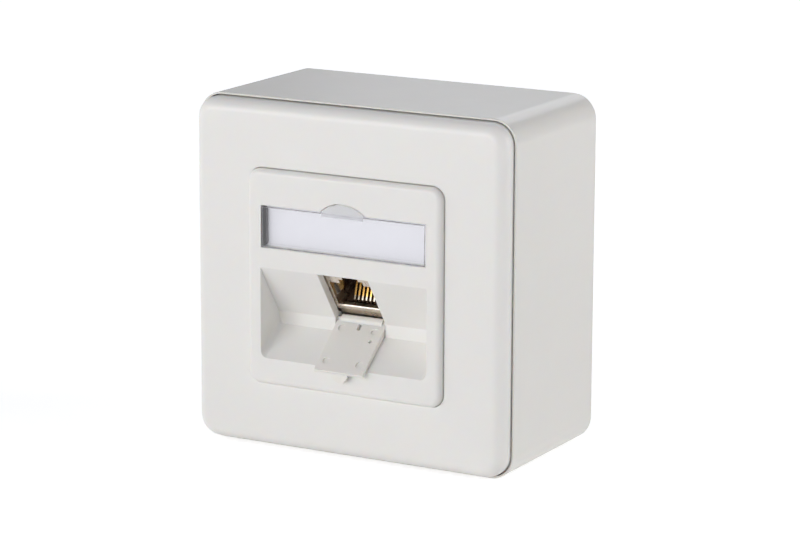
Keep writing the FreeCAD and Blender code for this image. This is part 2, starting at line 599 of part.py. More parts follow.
# ---- jack module -------------------------------------------------------------------------------
def jack_housing():
    """The die-cast front of the jack: keyed mouth, contact bay, narrow lower jaw and latch noses."""
    body = slab(JACK_HALF, (JACK_FRONT, JACK_BACK), (JACK_TOP, SHOULDER_BOTTOM))
    jaw = prism([(JACK_FRONT, -MOUTH_BOTTOM), (JACK_FRONT, -SHOULDER_BOTTOM),
                 (JACK_FRONT + JAW_BEVEL, -SHOULDER_BOTTOM - JAW_BEVEL), (JACK_FRONT + JAW_BEVEL, -JACK_BOTTOM),
                 (JACK_BACK, -JACK_BOTTOM), (JACK_BACK, -MOUTH_BOTTOM)], JAW_HALF)
    body = body.fuse([jaw] + latch_noses())
    mouth = slab(MOUTH_HALF, (JACK_FRONT, JACK_BACK), (MOUTH_TOP, MOUTH_BOTTOM))
    notch = slab(NOTCH_HALF, (JACK_FRONT, JACK_FRONT + NOTCH_DEPTH), (NOTCH_TOP, MOUTH_TOP))
    latch = slab(LATCH_HALF, (JACK_FRONT, JACK_FRONT + NOTCH_DEPTH), (LATCH_TOP, NOTCH_TOP))
    bay = slab(BAY_HALF, (BAY_FRONT, JACK_BACK), (MOUTH_BOTTOM, BAY_BOTTOM))
    body = bare(body.cut([mouth.fuse([notch, latch]), bay]))
    sill = [e for e in edges_at(body, "y", JACK_FRONT)
            if abs(e.BoundBox.ZMax + MOUTH_BOTTOM) < 1e-3 and e.BoundBox.ZLength < 1e-3]
    body = body.makeFillet(MOUTH_EDGE_R, sill)
    return tilted(bare(body))


def latch_noses():
    """Wedge noses on the jack's sides that snap into the cheeks' windows."""
    low, high = JACK_HALF - LAP, JACK_HALF + NOSE
    outline = [V(low, NOSE_FRONT, 0), V(high, NOSE_FRONT, 0), V(high, NOSE_FRONT + NOSE_FLAT, 0),
               V(JACK_HALF, NOSE_FRONT + NOSE_LENGTH, 0), V(low, NOSE_FRONT + NOSE_LENGTH, 0)]
    nose = Part.Face(Part.makePolygon(outline + outline[:1])).extrude(V(0, 0, NOSE_BOTTOM - NOSE_TOP))
    nose.translate(V(0, 0, -NOSE_BOTTOM))
    return mirrored_pair(nose)


def contact_x(number):
    """Across place of a contact, 1 to CONTACTS."""
    return (number - (CONTACTS + 1) / 2) * CONTACT_PITCH


def contact_carrier():
    """The insulator in the contact bay: a slotted floor and a back wall that closes the mouth."""
    gap = CARRIER_GAP
    wall_front = JACK_BACK - CARRIER_BACK_WALL
    floor = slab(BAY_HALF - gap, (CARRIER_FRONT, JACK_BACK), (CARRIER_TOP, BAY_BOTTOM - gap / 2))
    foot = slab(BAY_HALF - gap, (wall_front, JACK_BACK), (MOUTH_BOTTOM - gap, CARRIER_TOP))
    wall = slab(MOUTH_HALF - gap, (wall_front, JACK_BACK), (MOUTH_TOP + gap, MOUTH_BOTTOM - gap))
    body = floor.fuse([foot, wall])
    slots = []
    for number in range(1, CONTACTS + 1):
        x = contact_x(number)
        slots.append(block((x - CARRIER_SLOT / 2, x + CARRIER_SLOT / 2), (CARRIER_FRONT, JACK_BACK),
                           (-CONTACT_LEVEL - CONTACT_THICK / 2, -CARRIER_TOP)))
    return tilted(bare(body.cut(slots)))


def contact(number):
    """One spring contact: tail in the board, run along the floor, bend, and rise into the mouth."""
    x = contact_x(number)
    half = CONTACT_THICK / 2
    bend = CONTACT_THICK
    level = -CONTACT_LEVEL
    slope = math.atan2(CONTACT_RISE, CONTACT_REACH - CONTACT_FRONT)
    turn = V(x, CONTACT_FRONT + bend, level + bend)
    run_end = V(x, CONTACT_FRONT + bend, level)
    rise_start = turn + V(0, -math.sin(slope), math.cos(slope)) * bend
    middle = turn + V(0, -math.cos(slope / 2), -math.sin(slope / 2)) * bend
    tip = rise_start + V(0, math.cos(slope), math.sin(slope)) * (CONTACT_RISE / math.sin(slope) - bend)
    tail = V(x, BOARD_BACK + TAIL, level)
    path = Part.Wire([Part.LineSegment(tail, run_end).toShape(), Part.Arc(run_end, middle, rise_start).toShape(),
                      Part.LineSegment(rise_start, tip).toShape()])
    section = Part.makePolygon([V(x - CONTACT_WIDTH / 2, tail.y, level - half),
                                V(x + CONTACT_WIDTH / 2, tail.y, level - half),
                                V(x + CONTACT_WIDTH / 2, tail.y, level + half),
                                V(x - CONTACT_WIDTH / 2, tail.y, level + half),
                                V(x - CONTACT_WIDTH / 2, tail.y, level - half)])
    return tilted(path.makePipeShell([Part.Wire(section)], True, False, 1))


def circuit_board():
    """The board between the mouth's contacts and the wire terminals."""
    body = slab(BOARD_HALF, (BOARD_FRONT, BOARD_BACK), (JACK_TOP + SHELL_WALL, JACK_BOTTOM - SHELL_WALL / 2))
    holes = []
    for number in range(1, CONTACTS + 1):
        x = contact_x(number)
        holes.append(block((x - CARRIER_SLOT / 2, x + CARRIER_SLOT / 2), (BOARD_FRONT, BOARD_BACK),
                           (-CONTACT_LEVEL - CARRIER_SLOT / 2, -CONTACT_LEVEL + CARRIER_SLOT / 2)))
    return tilted(body.cut(holes))


def idc_place(number):
    """(x, s) of a wire terminal, 1 to 8, in two rows of four."""
    row, column = divmod(number - 1, 4)
    return (column - 1.5) * IDC_PITCH, IDC_ROWS[row]


def idc_block():
    """The insulator behind the board, with a slot for each terminal."""
    front = IDC_FRONT
    body = slab(BOARD_HALF - IDC_INSET, (front, front + IDC_LENGTH), IDC_SPAN)
    slots = []
    for number in range(1, CONTACTS + 1):
        x, s = idc_place(number)
        half = IDC_BLADE / 2 + SCREW_GAP
        tall = IDC_BLADE_WIDTH / 2 + SCREW_GAP
        slots.append(block((x - half, x + half), (front, front + IDC_LENGTH), (-s - tall, -s + tall)))
    return tilted(body.cut(slots))


def idc_contact(number):
    """A fork blade that cuts through a wire's insulation."""
    x, s = idc_place(number)
    top = IDC_FRONT + IDC_LENGTH - IDC_BLADE_DROP
    half = IDC_BLADE_WIDTH / 2
    blade = block((x - IDC_BLADE / 2, x + IDC_BLADE / 2), (BOARD_BACK, top), (-s - half, -s + half))
    fork = block((x - IDC_BLADE, x + IDC_BLADE), (top - IDC_FORK_DEPTH, top),
                 (-s - IDC_FORK_HALF, -s + IDC_FORK_HALF))
    return tilted(blade.cut(fork))


def wire_cap():
    """The cap that presses the wires into the terminals and holds the cable in its middle."""
    front = IDC_FRONT + IDC_LENGTH
    back = SHELL_BACK - SHELL_WALL - SHELL_GAP
    body = slab(BOARD_HALF - IDC_INSET, (front, back), IDC_SPAN)
    s = (JACK_TOP + JACK_BOTTOM) / 2
    hole = Part.makeCylinder(CAP_HOLE_R, back - front, V(0, front, -s), V(0, 1, 0))
    return tilted(body.cut(hole))


def rear_shell():
    """The die-cast rear half of the jack, with its round cable exit."""
    body = slab(JACK_HALF, (JACK_BACK, SHELL_BACK), (JACK_TOP, JACK_BOTTOM))
    body = body.cut(slab(JACK_HALF - SHELL_WALL, (JACK_BACK, SHELL_BACK - SHELL_WALL),
                         (JACK_TOP + SHELL_WALL - SHELL_GAP, JACK_BOTTOM - SHELL_WALL / 2 + SHELL_GAP)))
    s = (JACK_TOP + JACK_BOTTOM) / 2
    hole = Part.makeCylinder(CABLE_HOLE_R, SHELL_WALL, V(0, SHELL_BACK - SHELL_WALL, -s), V(0, 1, 0))
    return tilted(body.cut(hole))


def shield_spring(side):
    """A bowed leaf on the mouth's side wall that touches the plug's shield."""
    wall = side * MOUTH_HALF
    depths = (JACK_FRONT + SPRING_SET, JACK_FRONT + SPRING_SET + SPRING_LENGTH / 2,
              JACK_FRONT + SPRING_SET + SPRING_LENGTH)
    inner = Part.Arc(V(wall, depths[0], 0), V(wall - side * (SPRING_BOW + SPRING_THICK), depths[1], 0),
                     V(wall, depths[2], 0)).toShape()
    front, back = depths[0] + SPRING_FOOT, depths[2] - SPRING_FOOT
    outer = Part.Arc(V(wall, back, 0), V(wall - side * SPRING_BOW, depths[1], 0), V(wall, front, 0)).toShape()
    ends = [Part.LineSegment(V(wall, depths[2], 0), V(wall, back, 0)).toShape(),
            Part.LineSegment(V(wall, front, 0), V(wall, depths[0], 0)).toShape()]
    leaf = Part.Face(Part.Wire([inner, ends[0], outer, ends[1]])).extrude(V(0, 0, SPRING_WIDTH))
    leaf.translate(V(0, 0, -(MOUTH_TOP + MOUTH_BOTTOM + SPRING_WIDTH) / 2))
    return tilted(leaf)


def earth_tab():
    """The flat earthing blade on top of the rear shell."""
    half = EARTH_TAB_WIDTH / 2
    tab = block((-half, half), (SHELL_BACK, SHELL_BACK + EARTH_TAB_THICK),
                (-JACK_TOP - EARTH_TAB_LAP, -JACK_TOP + EARTH_TAB_LENGTH - EARTH_TAB_LAP))
    return tilted(tab)


# ---- cable clamp -------------------------------------------------------------------------------
def cable_clamp():
    """The strap over the cable, arched in the middle, on its two posts."""
    seat = -BOX_BACK - CLAMP_POST
    half_z = CLAMP_WIDTH / 2
    reach = CLAMP_HALF + CLAMP_POST_HALF
    bar = block((-reach, reach), (seat - CLAMP_THICK, seat), (CLAMP_Z - half_z, CLAMP_Z + half_z))
    arch = Part.makeCylinder(CLAMP_ARCH_R + CLAMP_THICK, CLAMP_WIDTH, V(0, seat, CLAMP_Z - half_z), V(0, 0, 1))
    arch = arch.common(block((-reach, reach), (seat - BOX_DEPTH, seat), (CLAMP_Z - half_z, CLAMP_Z + half_z)))
    body = bar.fuse(arch)
    body = body.cut(Part.makeCylinder(CLAMP_ARCH_R, CLAMP_WIDTH, V(0, seat, CLAMP_Z - half_z), V(0, 0, 1)))
    holes = [disc(CLAMP_SCREW_R + SCREW_GAP, side * CLAMP_HALF, CLAMP_Z, seat - CLAMP_THICK, seat)
             for side in (-1, 1)]
    return bare(body.cut(holes))


def clamp_screws():
    """The two screws of the cable clamp."""
    seat = -BOX_BACK - CLAMP_POST - CLAMP_THICK
    screws = [head_screw(side * CLAMP_HALF, CLAMP_Z, seat, CLAMP_SCREW_HEAD_R, CLAMP_SCREW_HEAD,
                        CLAMP_SCREW_R, CLAMP_SCREW_LENGTH - SCREW_END_ROOM) for side in (-1, 1)]
    return Part.makeCompound(screws)


def pieces():
    """Every node's name with its shape."""
    made = {"surface_box": surface_box(), "cover_frame": cover_frame(), "centre_plate": centre_plate(),
            "dust_flap": dust_flap(), "label_card": label_card(), "label_window": label_window(),
            "support_ring": support_ring(), "ring_screws": ring_screws(), "plate_screw": plate_screw(),
            "jack_housing": jack_housing(), "rear_shell": rear_shell(), "contact_carrier": contact_carrier(),
            "circuit_board": circuit_board(), "idc_block": idc_block(), "wire_cap": wire_cap(),
            "shield_spring_left": shield_spring(-1), "shield_spring_right": shield_spring(1),
            "earth_tab": earth_tab(), "cable_clamp": cable_clamp(), "clamp_screws": clamp_screws()}
    for number in range(1, CONTACTS + 1):
        made["contact_%d" % number] = contact(number)
        made["idc_contact_%d" % number] = idc_contact(number)
    return made


os.makedirs("parts", exist_ok=True)
for name, shape in pieces().items():
    shape.exportStep("parts/%s.step" % name)
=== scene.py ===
import json
from math import atan2, cos, pi, radians, sin

import bmesh
import bpy
from bpy.props import FloatProperty, FloatVectorProperty, IntProperty, PointerProperty
from bpy.types import Operator, Panel, PropertyGroup
from mathutils import Matrix, Vector


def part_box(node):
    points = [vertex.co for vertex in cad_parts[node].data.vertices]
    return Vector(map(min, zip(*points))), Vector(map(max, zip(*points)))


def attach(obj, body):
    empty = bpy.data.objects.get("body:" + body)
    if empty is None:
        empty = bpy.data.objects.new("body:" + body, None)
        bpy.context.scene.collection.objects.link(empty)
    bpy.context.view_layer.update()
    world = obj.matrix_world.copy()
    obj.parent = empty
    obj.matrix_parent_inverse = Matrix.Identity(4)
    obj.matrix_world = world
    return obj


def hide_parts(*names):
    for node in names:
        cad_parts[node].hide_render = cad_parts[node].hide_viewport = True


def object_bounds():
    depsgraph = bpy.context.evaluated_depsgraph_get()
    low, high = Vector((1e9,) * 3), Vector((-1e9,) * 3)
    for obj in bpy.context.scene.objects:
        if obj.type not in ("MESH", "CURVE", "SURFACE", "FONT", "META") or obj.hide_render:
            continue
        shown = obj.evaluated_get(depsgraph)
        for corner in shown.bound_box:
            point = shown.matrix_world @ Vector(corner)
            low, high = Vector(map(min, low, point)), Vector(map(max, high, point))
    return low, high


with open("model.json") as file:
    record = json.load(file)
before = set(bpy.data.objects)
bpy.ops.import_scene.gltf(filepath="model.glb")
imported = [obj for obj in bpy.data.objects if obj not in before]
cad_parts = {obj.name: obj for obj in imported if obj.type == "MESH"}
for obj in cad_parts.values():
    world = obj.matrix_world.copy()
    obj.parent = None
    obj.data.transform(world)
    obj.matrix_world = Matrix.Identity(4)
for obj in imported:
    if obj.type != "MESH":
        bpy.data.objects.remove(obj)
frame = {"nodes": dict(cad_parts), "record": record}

bl_info = {
    "name": "Surface mount jack box",
    "version": (1, 0, 0),
    "blender": (4, 5, 0),
    "location": "View3D > Sidebar > Jack box",
    "description": "Dresses an 80 mm wall box with its cover frame, centre plate and slanted data jack",
    "category": "Add Mesh",
}

CAD_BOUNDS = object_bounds()
MM = 0.001
SHARP = radians(30.0)       # an edge whose faces turn by more than this is a sharp one
WELD = 0.5e-6               # points of a CAD mesh nearer than this are one point
FACING = 0.5                # a normal's share along an axis, from which its face looks that way
CUTTER_HEIGHT = 2 * MM      # what cuts the flap's marks stands this high
LUG_TURN = pi - 1e-4        # the finger lug's outline, just short of a half turn
REPEAT_SEED = 7             # of what the repeated copies sway by


# ---- sizes, finishes and stage ------------------------------------------------------------------
def size(name, text, default, high=0.2):
    """A length in metres that a user can change."""
    return FloatProperty(name=name, description=text, default=default, min=0.0, max=high,
                         unit="LENGTH", precision=5)


def colour(name, text, default, high=1.0):
    """A linear colour that a user can change."""
    return FloatVectorProperty(name=name, description=text, default=default, size=3,
                               min=0.0, max=high, subtype="COLOR")


def share(name, text, default, high=1.0):
    """A plain number from 0 up that a user can change."""
    return FloatProperty(name=name, description=text, default=default, min=0.0, max=high, subtype="FACTOR")


def angle(name, text, degrees):
    """An angle that a user can change."""
    return FloatProperty(name=name, description=text, default=radians(degrees), subtype="ANGLE")


def place(name, text, default):
    """A point in metres that a user can change."""
    return FloatVectorProperty(name=name, description=text, default=default, size=3,
                               subtype="TRANSLATION", unit="LENGTH")


def power(name, text, default):
    """A lamp's power that a user can change."""
    return FloatProperty(name=name, description=text, default=default, min=0.0, unit="POWER")


class JackBoxSizes(PropertyGroup):
    """Sizes that the dressed pieces take beside the frame's own."""
    corner_steps: IntProperty(name="Corner steps", description="Facets in each round corner", default=14,
                              min=4, max=48)
    soft_edge: size("Soft edge", "Rounding of the moulded edges", 0.15 * MM)
    metal_edge: size("Metal edge", "Rounding of the jack's cast edges", 0.1 * MM)
    frame_corner: size("Frame corner", "Corner radius of the cover frame", 5.0 * MM)
    frame_gap: size("Frame gap", "Extra gap between the frame and the box's rim", 0.04 * MM)
    frame_rounding: size("Frame rounding", "Rounding of the frame's front edge", 2.8 * MM)
    frame_skirt: size("Skirt wall", "Wall of the frame's skirt", 1.6 * MM)
    frame_wall: size("Frame wall", "Wall of the frame's face and collar", 1.8 * MM)
    frame_skirt_edge: size("Skirt edge", "Rounding of the edges at the back of the frame", 0.12 * MM)
    flat_margin: size("Flat margin", "Flat strips beside the frame's roundings", 0.4 * MM)
    mouth_side: size("Mouth side", "Square opening of the frame", 50.2 * MM)
    mouth_corner: size("Mouth corner", "Corner radius of the frame's opening", 3.1 * MM)
    mouth_rounding: size("Mouth rounding", "Rounding of the opening's edge", 0.35 * MM)
    mouth_depth: size("Mouth depth", "Front of the frame to its ledge", 1.9 * MM)
    ledge_thick: size("Ledge thickness", "Thickness of the ledge under the plate", 1.5 * MM)
    ledge_side: size("Ledge side", "Clear square inside the ledge", 46.4 * MM)
    ledge_corner: size("Ledge corner", "Corner radius inside the ledge", 1.2 * MM)
    # painted shade: the bar painted below the window's tab
    tab_bar_half: size("Tab bar", "Half the width of the bar below the window's tab", 5.4 * MM)
    tab_bar_drop: size("Tab bar drop", "Bar's lower edge below the top of the label", 0.85 * MM)
    tab_rise: size("Tab rise", "Window's tab above the label", 2.2 * MM)
    # painted shade: width of the dark line painted along the window's border
    window_shade_line: size("Window line", "Dark line along the window's border", 0.36 * MM)
    window_gap: size("Window gap", "Back of the window clear of the card", 0.04 * MM)
    window_rounding: size("Window edge", "Rounding of the window's edges", 0.05 * MM)
    flap_half: size("Flap half width", "Half the width of the flap's leaf", 6.35 * MM)
    flap_length: size("Flap length", "Hinge line to free end", 14.963 * MM)
    flap_root: size("Flap root", "Thickness at the hinge", 1.5 * MM)
    flap_tip: size("Flap tip", "Thickness at the free end", 0.75 * MM)
    flap_corner: size("Flap corners", "Bevelled corners beside the barrel", 1.0 * MM)
    flap_edge: size("Flap edge", "Rounding of the flap's edges", 0.12 * MM)
    flap_under: size("Flap underside", "Underside of the leaf below the pins", 1.0 * MM)
    barrel_radius: size("Barrel radius", "Round of the flap's hinge", 1.15 * MM)
    pin_radius: size("Pin radius", "Pins at the ends of the barrel", 0.6 * MM)
    pin_length: size("Pin length", "Pin beyond the leaf's side", 1.3 * MM)
    lug_radius: size("Lug radius", "Half-round finger lug", 2.2 * MM)
    lug_thick: size("Lug thickness", "Finger lug", 0.5 * MM)
    mark_radius: size("Mark radius", "Ejector pin marks on the flap", 0.9 * MM)
    mark_depth: size("Mark depth", "Ejector pin marks below the face", 0.3 * MM)
    mark_side: size("Mark side", "Marks from the flap's middle", 4.3 * MM)
    mark_near: size("Near marks", "Marks beside the hinge, from the pins", 2.75 * MM)
    mark_far: size("Far marks", "Marks at the free end, from the pins", 12.1 * MM)
    gate_radius: size("Gate radius", "Gate mark, and half the notch's width", 0.4 * MM)
    gate_depth: size("Gate depth", "Gate mark below the face", 0.7 * MM)
    gate_place: size("Gate place", "Gate mark, from the pins", 5.6 * MM)
    notch_depth: size("Notch depth", "Notch at the hinge below the face", 1.1 * MM)
    notch_length: size("Notch length", "Notch from the barrel on", 1.7 * MM)
    contact_pitch: size("Contact pitch", "Distance from contact to contact", 1.02 * MM)
    contact_count: IntProperty(name="Contacts", description="Contacts in the jack", default=8, min=1, max=8)
    contact_width: size("Contact width", "Across one contact", 0.45 * MM)
    contact_thick: size("Contact thickness", "Through one contact", 0.34 * MM)
    contact_level: size("Contact level", "Straight run below the slant's top edge", 13.7 * MM)
    contact_front: size("Contact front", "Bend behind the slanted face", 5.3 * MM)
    contact_reach: size("Contact reach", "Sprung end behind the slanted face", 12.6 * MM)
    contact_rise: size("Contact rise", "Run to sprung end", 5.9 * MM)
    contact_tail: size("Contact tail", "Far end of the run", 19.2 * MM)
    contact_sway: size("Contact sway", "How far a contact stands above or below its place", 0.02 * MM)
    contact_edge: size("Contact edge", "Rounding of the contacts' edges", 0.05 * MM)
    gold_line: size("Gold line", "Gold begins this far above the contacts' lowest point", 1.5 * MM)
    gold_blend: size("Gold blend", "Half the height over which gold turns to tin", 0.25 * MM)
    terminal_edge: size("Terminal edge", "Rounding of the wire terminals", 0.03 * MM)
    spring_edge: size("Spring edge", "Rounding of the shield springs and the earth tab", 0.03 * MM)
    insulator_edge: size("Insulator edge", "Rounding of the insulators", 0.05 * MM)
    board_edge: size("Board edge", "Rounding of the circuit board", 0.04 * MM)
    ring_edge: size("Ring edge", "Rounding of the support ring", 0.1 * MM)
    screw_edge: size("Screw edge", "Rounding of the screws", 0.08 * MM)
    clamp_edge: size("Clamp edge", "Rounding of the cable clamp", 0.15 * MM)
    slant_top: size("Slant top", "Height of the slant's top edge", 2.2 * MM)
    plate_front: size("Plate front", "Front of the centre plate from the wall", 45.5 * MM)
    slant_angle: angle("Slant", "Slanted face from the upright", 35.0)


class JackBoxFinish(PropertyGroup):
    """Colours and surfaces of the object."""
    box_white: colour("Box", "Moulded plastic of the wall box", (0.80, 0.778, 0.732))
    cover_white: colour("Cover", "Moulded plastic of frame and plate", (0.865, 0.848, 0.812))
    flap_white: colour("Flap", "Moulded plastic of the dust flap", (0.86, 0.835, 0.785))
    card: colour("Card", "Paper of the label card", (0.95, 0.945, 0.99))
    window: colour("Window", "Clear plastic of the label window", (0.93, 0.94, 0.96))
    # painted shade: a dark colour standing in for refraction and for the shaded pocket wall seen through the
    # window's edges
    window_edge_shade: colour("Window edges", "Window seen through its edges", (0.10, 0.085, 0.092))
    jack_metal: colour("Jack metal", "Plated casting of the jack", (0.68, 0.61, 0.53))
    insulator: colour("Insulator", "Moulded carrier of the contacts", (0.085, 0.050, 0.030))
    gold: colour("Gold", "Plating where the contacts touch the plug", (0.72, 0.42, 0.12))
    tin: colour("Tin", "Plating of the contacts' lower run and of the terminals", (0.38, 0.335, 0.27))
    steel: colour("Steel", "Zinc plated sheet and screws", (0.62, 0.62, 0.62))
    board: colour("Board", "Coating of the circuit board", (0.05, 0.17, 0.07))
    gloss: share("Gloss", "Mean roughness of the covers", 0.3)
    box_gloss: share("Box gloss", "Mean roughness of the box", 0.26)
    grain: size("Grain", "Width of the moulded grain", 0.25 * MM)
    grain_depth: size("Grain depth", "Height of the moulded grain", 0.0015 * MM)


class JackBoxStage(PropertyGroup):
    """Camera, lamps and floor."""
    camera_place: place("Camera", "Where the camera stands", (0.35544, -0.65657, 0.16281))
    camera_turn: angle("Turn", "Camera's turn about the upright", 29.136)
    camera_dip: angle("Dip", "Camera's look downwards", 12.725)
    camera_roll: angle("Roll", "Camera's roll", 0.217)
    lens: FloatProperty(name="Lens", description="Focal length in millimetres", default=145.62, min=10.0)
    sensor: FloatProperty(name="Sensor", description="Width of the sensor in millimetres", default=36.0,
                          min=1.0)
    sky: share("Sky", "Strength of the light from above", 0.2, 4.0)
    sky_tone: colour("Sky tone", "Colour of the light from above", (0.93, 0.97, 1.1), 2.0)
    horizon: share("Horizon", "Strength of the light from the level", 1.75, 4.0)
    horizon_tone: colour("Horizon tone", "Colour of the light from the level", (0.99, 0.997, 1.02), 2.0)
    behind: share("Behind", "Share of the level light that comes from behind", 0.35)
    right: share("Right", "Share of the level light that comes from the right", 0.42)
    floor_reach: size("Floor reach", "Middle of the floor to its edges", 1.6, high=20.0)
    ground: share("Ground", "How much light the floor gives back", 0.93)
    glow: share("Glow", "How much the floor is lifted where it is seen or mirrored", 0.58, 2.0)
    aim: place("Aim", "What the lamps look at", (0.0, -0.03, 0.0))
    front_power: power("Front lamp", "Power of the lamp on the left front", 16.75)
    front_place: place("Front lamp's place", "Where the lamp on the left front stands", (-0.7, -1.7, 0.15))
    front_width: size("Front lamp's width", "Side of the lamp on the left front", 1.4, high=5.0)
    front_tone: colour("Front lamp's tone", "Colour of the lamp on the left front", (1.0, 0.99, 0.98))
    side_power: power("Side lamp", "Power of the lamp on the right", 11.5)
    side_place: place("Side lamp's place", "Where the lamp on the right stands", (1.6, 0.45, 0.5))
    side_width: size("Side lamp's width", "Side of the lamp on the right", 1.0, high=5.0)
    side_tone: colour("Side lamp's tone", "Colour of the lamp on the right", (1.0, 0.995, 0.99))
    back_power: power("Back lamp", "Power of the lamp behind, seen in rounded edges", 5.6)
    back_place: place("Back lamp's place", "Where the lamp behind stands", (-0.5, 1.75, 1.05))
    back_width: size("Back lamp's width", "Side of the lamp behind", 1.15, high=5.0)
    back_tone: colour("Back lamp's tone", "Colour of the lamp behind", (0.96, 0.98, 1.0))


# ---- materials ----------------------------------------------------------------------------------
class Nodes:
    """The nodes of a material or of the world."""

    def __init__(self, owner):
        owner.use_nodes = True
        self.nodes = owner.node_tree.nodes
        self.links = owner.node_tree.links

    def feed(self, socket, value):
        """Links a socket to another, or sets it to a number or a colour."""
        if isinstance(value, bpy.types.NodeSocket):
            self.links.new(value, socket)
        else:
            socket.default_value = value

    def calc(self, operation, *values):
        """A sum on sockets or numbers."""
        node = self.nodes.new("ShaderNodeMath")
        node.operation = operation
        for socket, value in zip(node.inputs, values):
            self.feed(socket, value)
        return node.outputs["Value"]

    def total(self, start, *terms):
        """The start and each term's socket times its share, added up, and 1 at the most."""
        for socket, part in terms:
            start = self.calc("MULTIPLY_ADD", socket, part, start)
        return self.calc("MINIMUM", start, 1.0)

    def mapped(self, value, source, target=(0.0, 1.0), kind="LINEAR"):
        """A value moved from one range to another."""
        node = self.nodes.new("ShaderNodeMapRange")
        node.interpolation_type = kind
        for label, number in zip(("From Min", "From Max", "To Min", "To Max"), (*source, *target)):
            node.inputs[label].default_value = number
        self.feed(node.inputs["Value"], value)
        return node.outputs["Result"]

    def tint(self, factor, first, second):
        """A colour between two, each given as a colour or a socket."""
        node = self.nodes.new("ShaderNodeMix")
        node.data_type = "RGBA"
        for label, value in (("A", first), ("B", second)):
            self.feed(node.inputs[label], value if isinstance(value, bpy.types.NodeSocket) else (*value, 1.0))
        self.feed(node.inputs["Factor"], factor)
        return node.outputs["Result"]

    def split(self, vector):
        """X, Y and Z of a vector socket."""
        node = self.nodes.new("ShaderNodeSeparateXYZ")
        self.links.new(vector, node.inputs["Vector"])
        return node.outputs["X"], node.outputs["Y"], node.outputs["Z"]


class Finish(Nodes):
    """A material's nodes, laid out from the shader back."""

    def __init__(self, name):
        self.material = bpy.data.materials.new(name)
        super().__init__(self.material)
        self.shader = self.nodes["Principled BSDF"]

    def place(self):
        """The shaded point in the object's own coordinates."""
        return self.nodes.new("ShaderNodeTexCoord").outputs["Object"]

    def set(self, **values):
        """Uniform values on the shader's own sockets."""
        for name, value in values.items():
            self.shader.inputs[name.replace("_", " ")].default_value = value
        return self

    def noise(self, width, detail=2.0, stretch=(1.0, 1.0, 1.0)):
        """A noise whose features are about this wide."""
        mapping = self.nodes.new("ShaderNodeMapping")
        mapping.inputs["Scale"].default_value = stretch
        noise = self.nodes.new("ShaderNodeTexNoise")
        noise.inputs["Scale"].default_value = 1.0 / width
        noise.inputs["Detail"].default_value = detail
        self.links.new(self.place(), mapping.inputs["Vector"])
        self.links.new(mapping.outputs["Vector"], noise.inputs["Vector"])
        return noise.outputs["Fac"]

    def spread(self, noise, low, high):
        """The middle of a noise's range stretched over another."""
        return self.mapped(noise, source=(0.3, 0.7), target=(low, high))

    def colour(self, socket):
        """Colours the surface by a socket."""
        self.links.new(socket, self.shader.inputs["Base Color"])
        return self

    def mottle(self, noise, base, dark, pale):
        """Colours the surface with a base that a noise makes darker and paler."""
        factor = self.spread(noise, low=0.0, high=1.0)
        return self.colour(self.tint(factor, shade(base, dark), shade(base, pale)))

    def roughness(self, noise, low, high):
        """Roughness that a noise moves between two values."""
        self.links.new(self.spread(noise, low, high), self.shader.inputs["Roughness"])
        return self

    def bump(self, socket, height, strength):
        """Raises the surface by up to height."""
        node = self.nodes.new("ShaderNodeBump")
        node.inputs["Distance"].default_value = height
        node.inputs["Strength"].default_value = strength
        self.links.new(socket, node.inputs["Height"])
        self.links.new(node.outputs["Normal"], self.shader.inputs["Normal"])
        return self


def shade(colour_value, factor):
    """A colour made lighter or darker."""
    return tuple(min(1.0, c * factor) for c in colour_value)


def moulded(name, base, rough, finish):
    """Satin moulded plastic: faint grain, faint flow marks in colour and gloss."""
    look = Finish(name)
    flow = look.noise(width=9 * MM, detail=3.0)
    look.mottle(flow, base, dark=0.996, pale=1.004)
    look.roughness(flow, rough - 0.006, rough + 0.006)
    look.bump(look.noise(finish.grain), finish.grain_depth, strength=0.6)
    return look.set(IOR=1.46, Specular_IOR_Level=0.5, Subsurface_Weight=0.25, Subsurface_Scale=0.8 * MM,
                    Subsurface_Radius=(1.0, 0.62, 0.34)).material


def cast_metal(name, base, rough):
    """Plated casting: faint pits and a cloudy plate."""
    look = Finish(name)
    cloud = look.noise(width=1.2 * MM, detail=4.0)
    look.mottle(cloud, base, dark=0.9, pale=1.06)
    look.roughness(cloud, rough - 0.06, rough + 0.08)
    look.bump(look.noise(width=0.12 * MM, detail=3.0), height=0.004 * MM, strength=0.5)
    return look.set(Metallic=1.0).material


def sheet_metal(name, base, rough):
    """Rolled or drawn metal with its lines along X."""
    look = Finish(name)
    lines = look.noise(width=0.05 * MM, stretch=(0.08, 1.0, 1.0))
    look.mottle(lines, base, dark=0.94, pale=1.04)
    look.roughness(lines, rough - 0.05, rough + 0.07)
    look.bump(lines, height=0.002 * MM, strength=0.5)
    return look.set(Metallic=1.0).material


def paper(name, base):
    """Plain card: fibres and a dull surface."""
    look = Finish(name)
    fibre = look.noise(width=0.15 * MM, detail=5.0, stretch=(1.0, 1.0, 0.4))
    look.mottle(fibre, base, dark=0.975, pale=1.01)
    look.bump(fibre, height=0.01 * MM, strength=0.4)
    return look.set(Roughness=0.85).material


def polish(look):
    """Gives a finish the window's polished surface."""
    look.roughness(look.noise(width=6 * MM), low=0.08, high=0.14)
    return look.set(IOR=1.49)


def clear_plastic(name, base, cover):
    """Clear window: mostly see-through, with a polished surface; cover is how much it hides."""
    look = polish(Finish(name))
    look.bump(look.noise(width=12 * MM, detail=1.0), height=0.02 * MM, strength=0.3)
    return look.set(Base_Color=(*base, 1.0), Alpha=cover).material


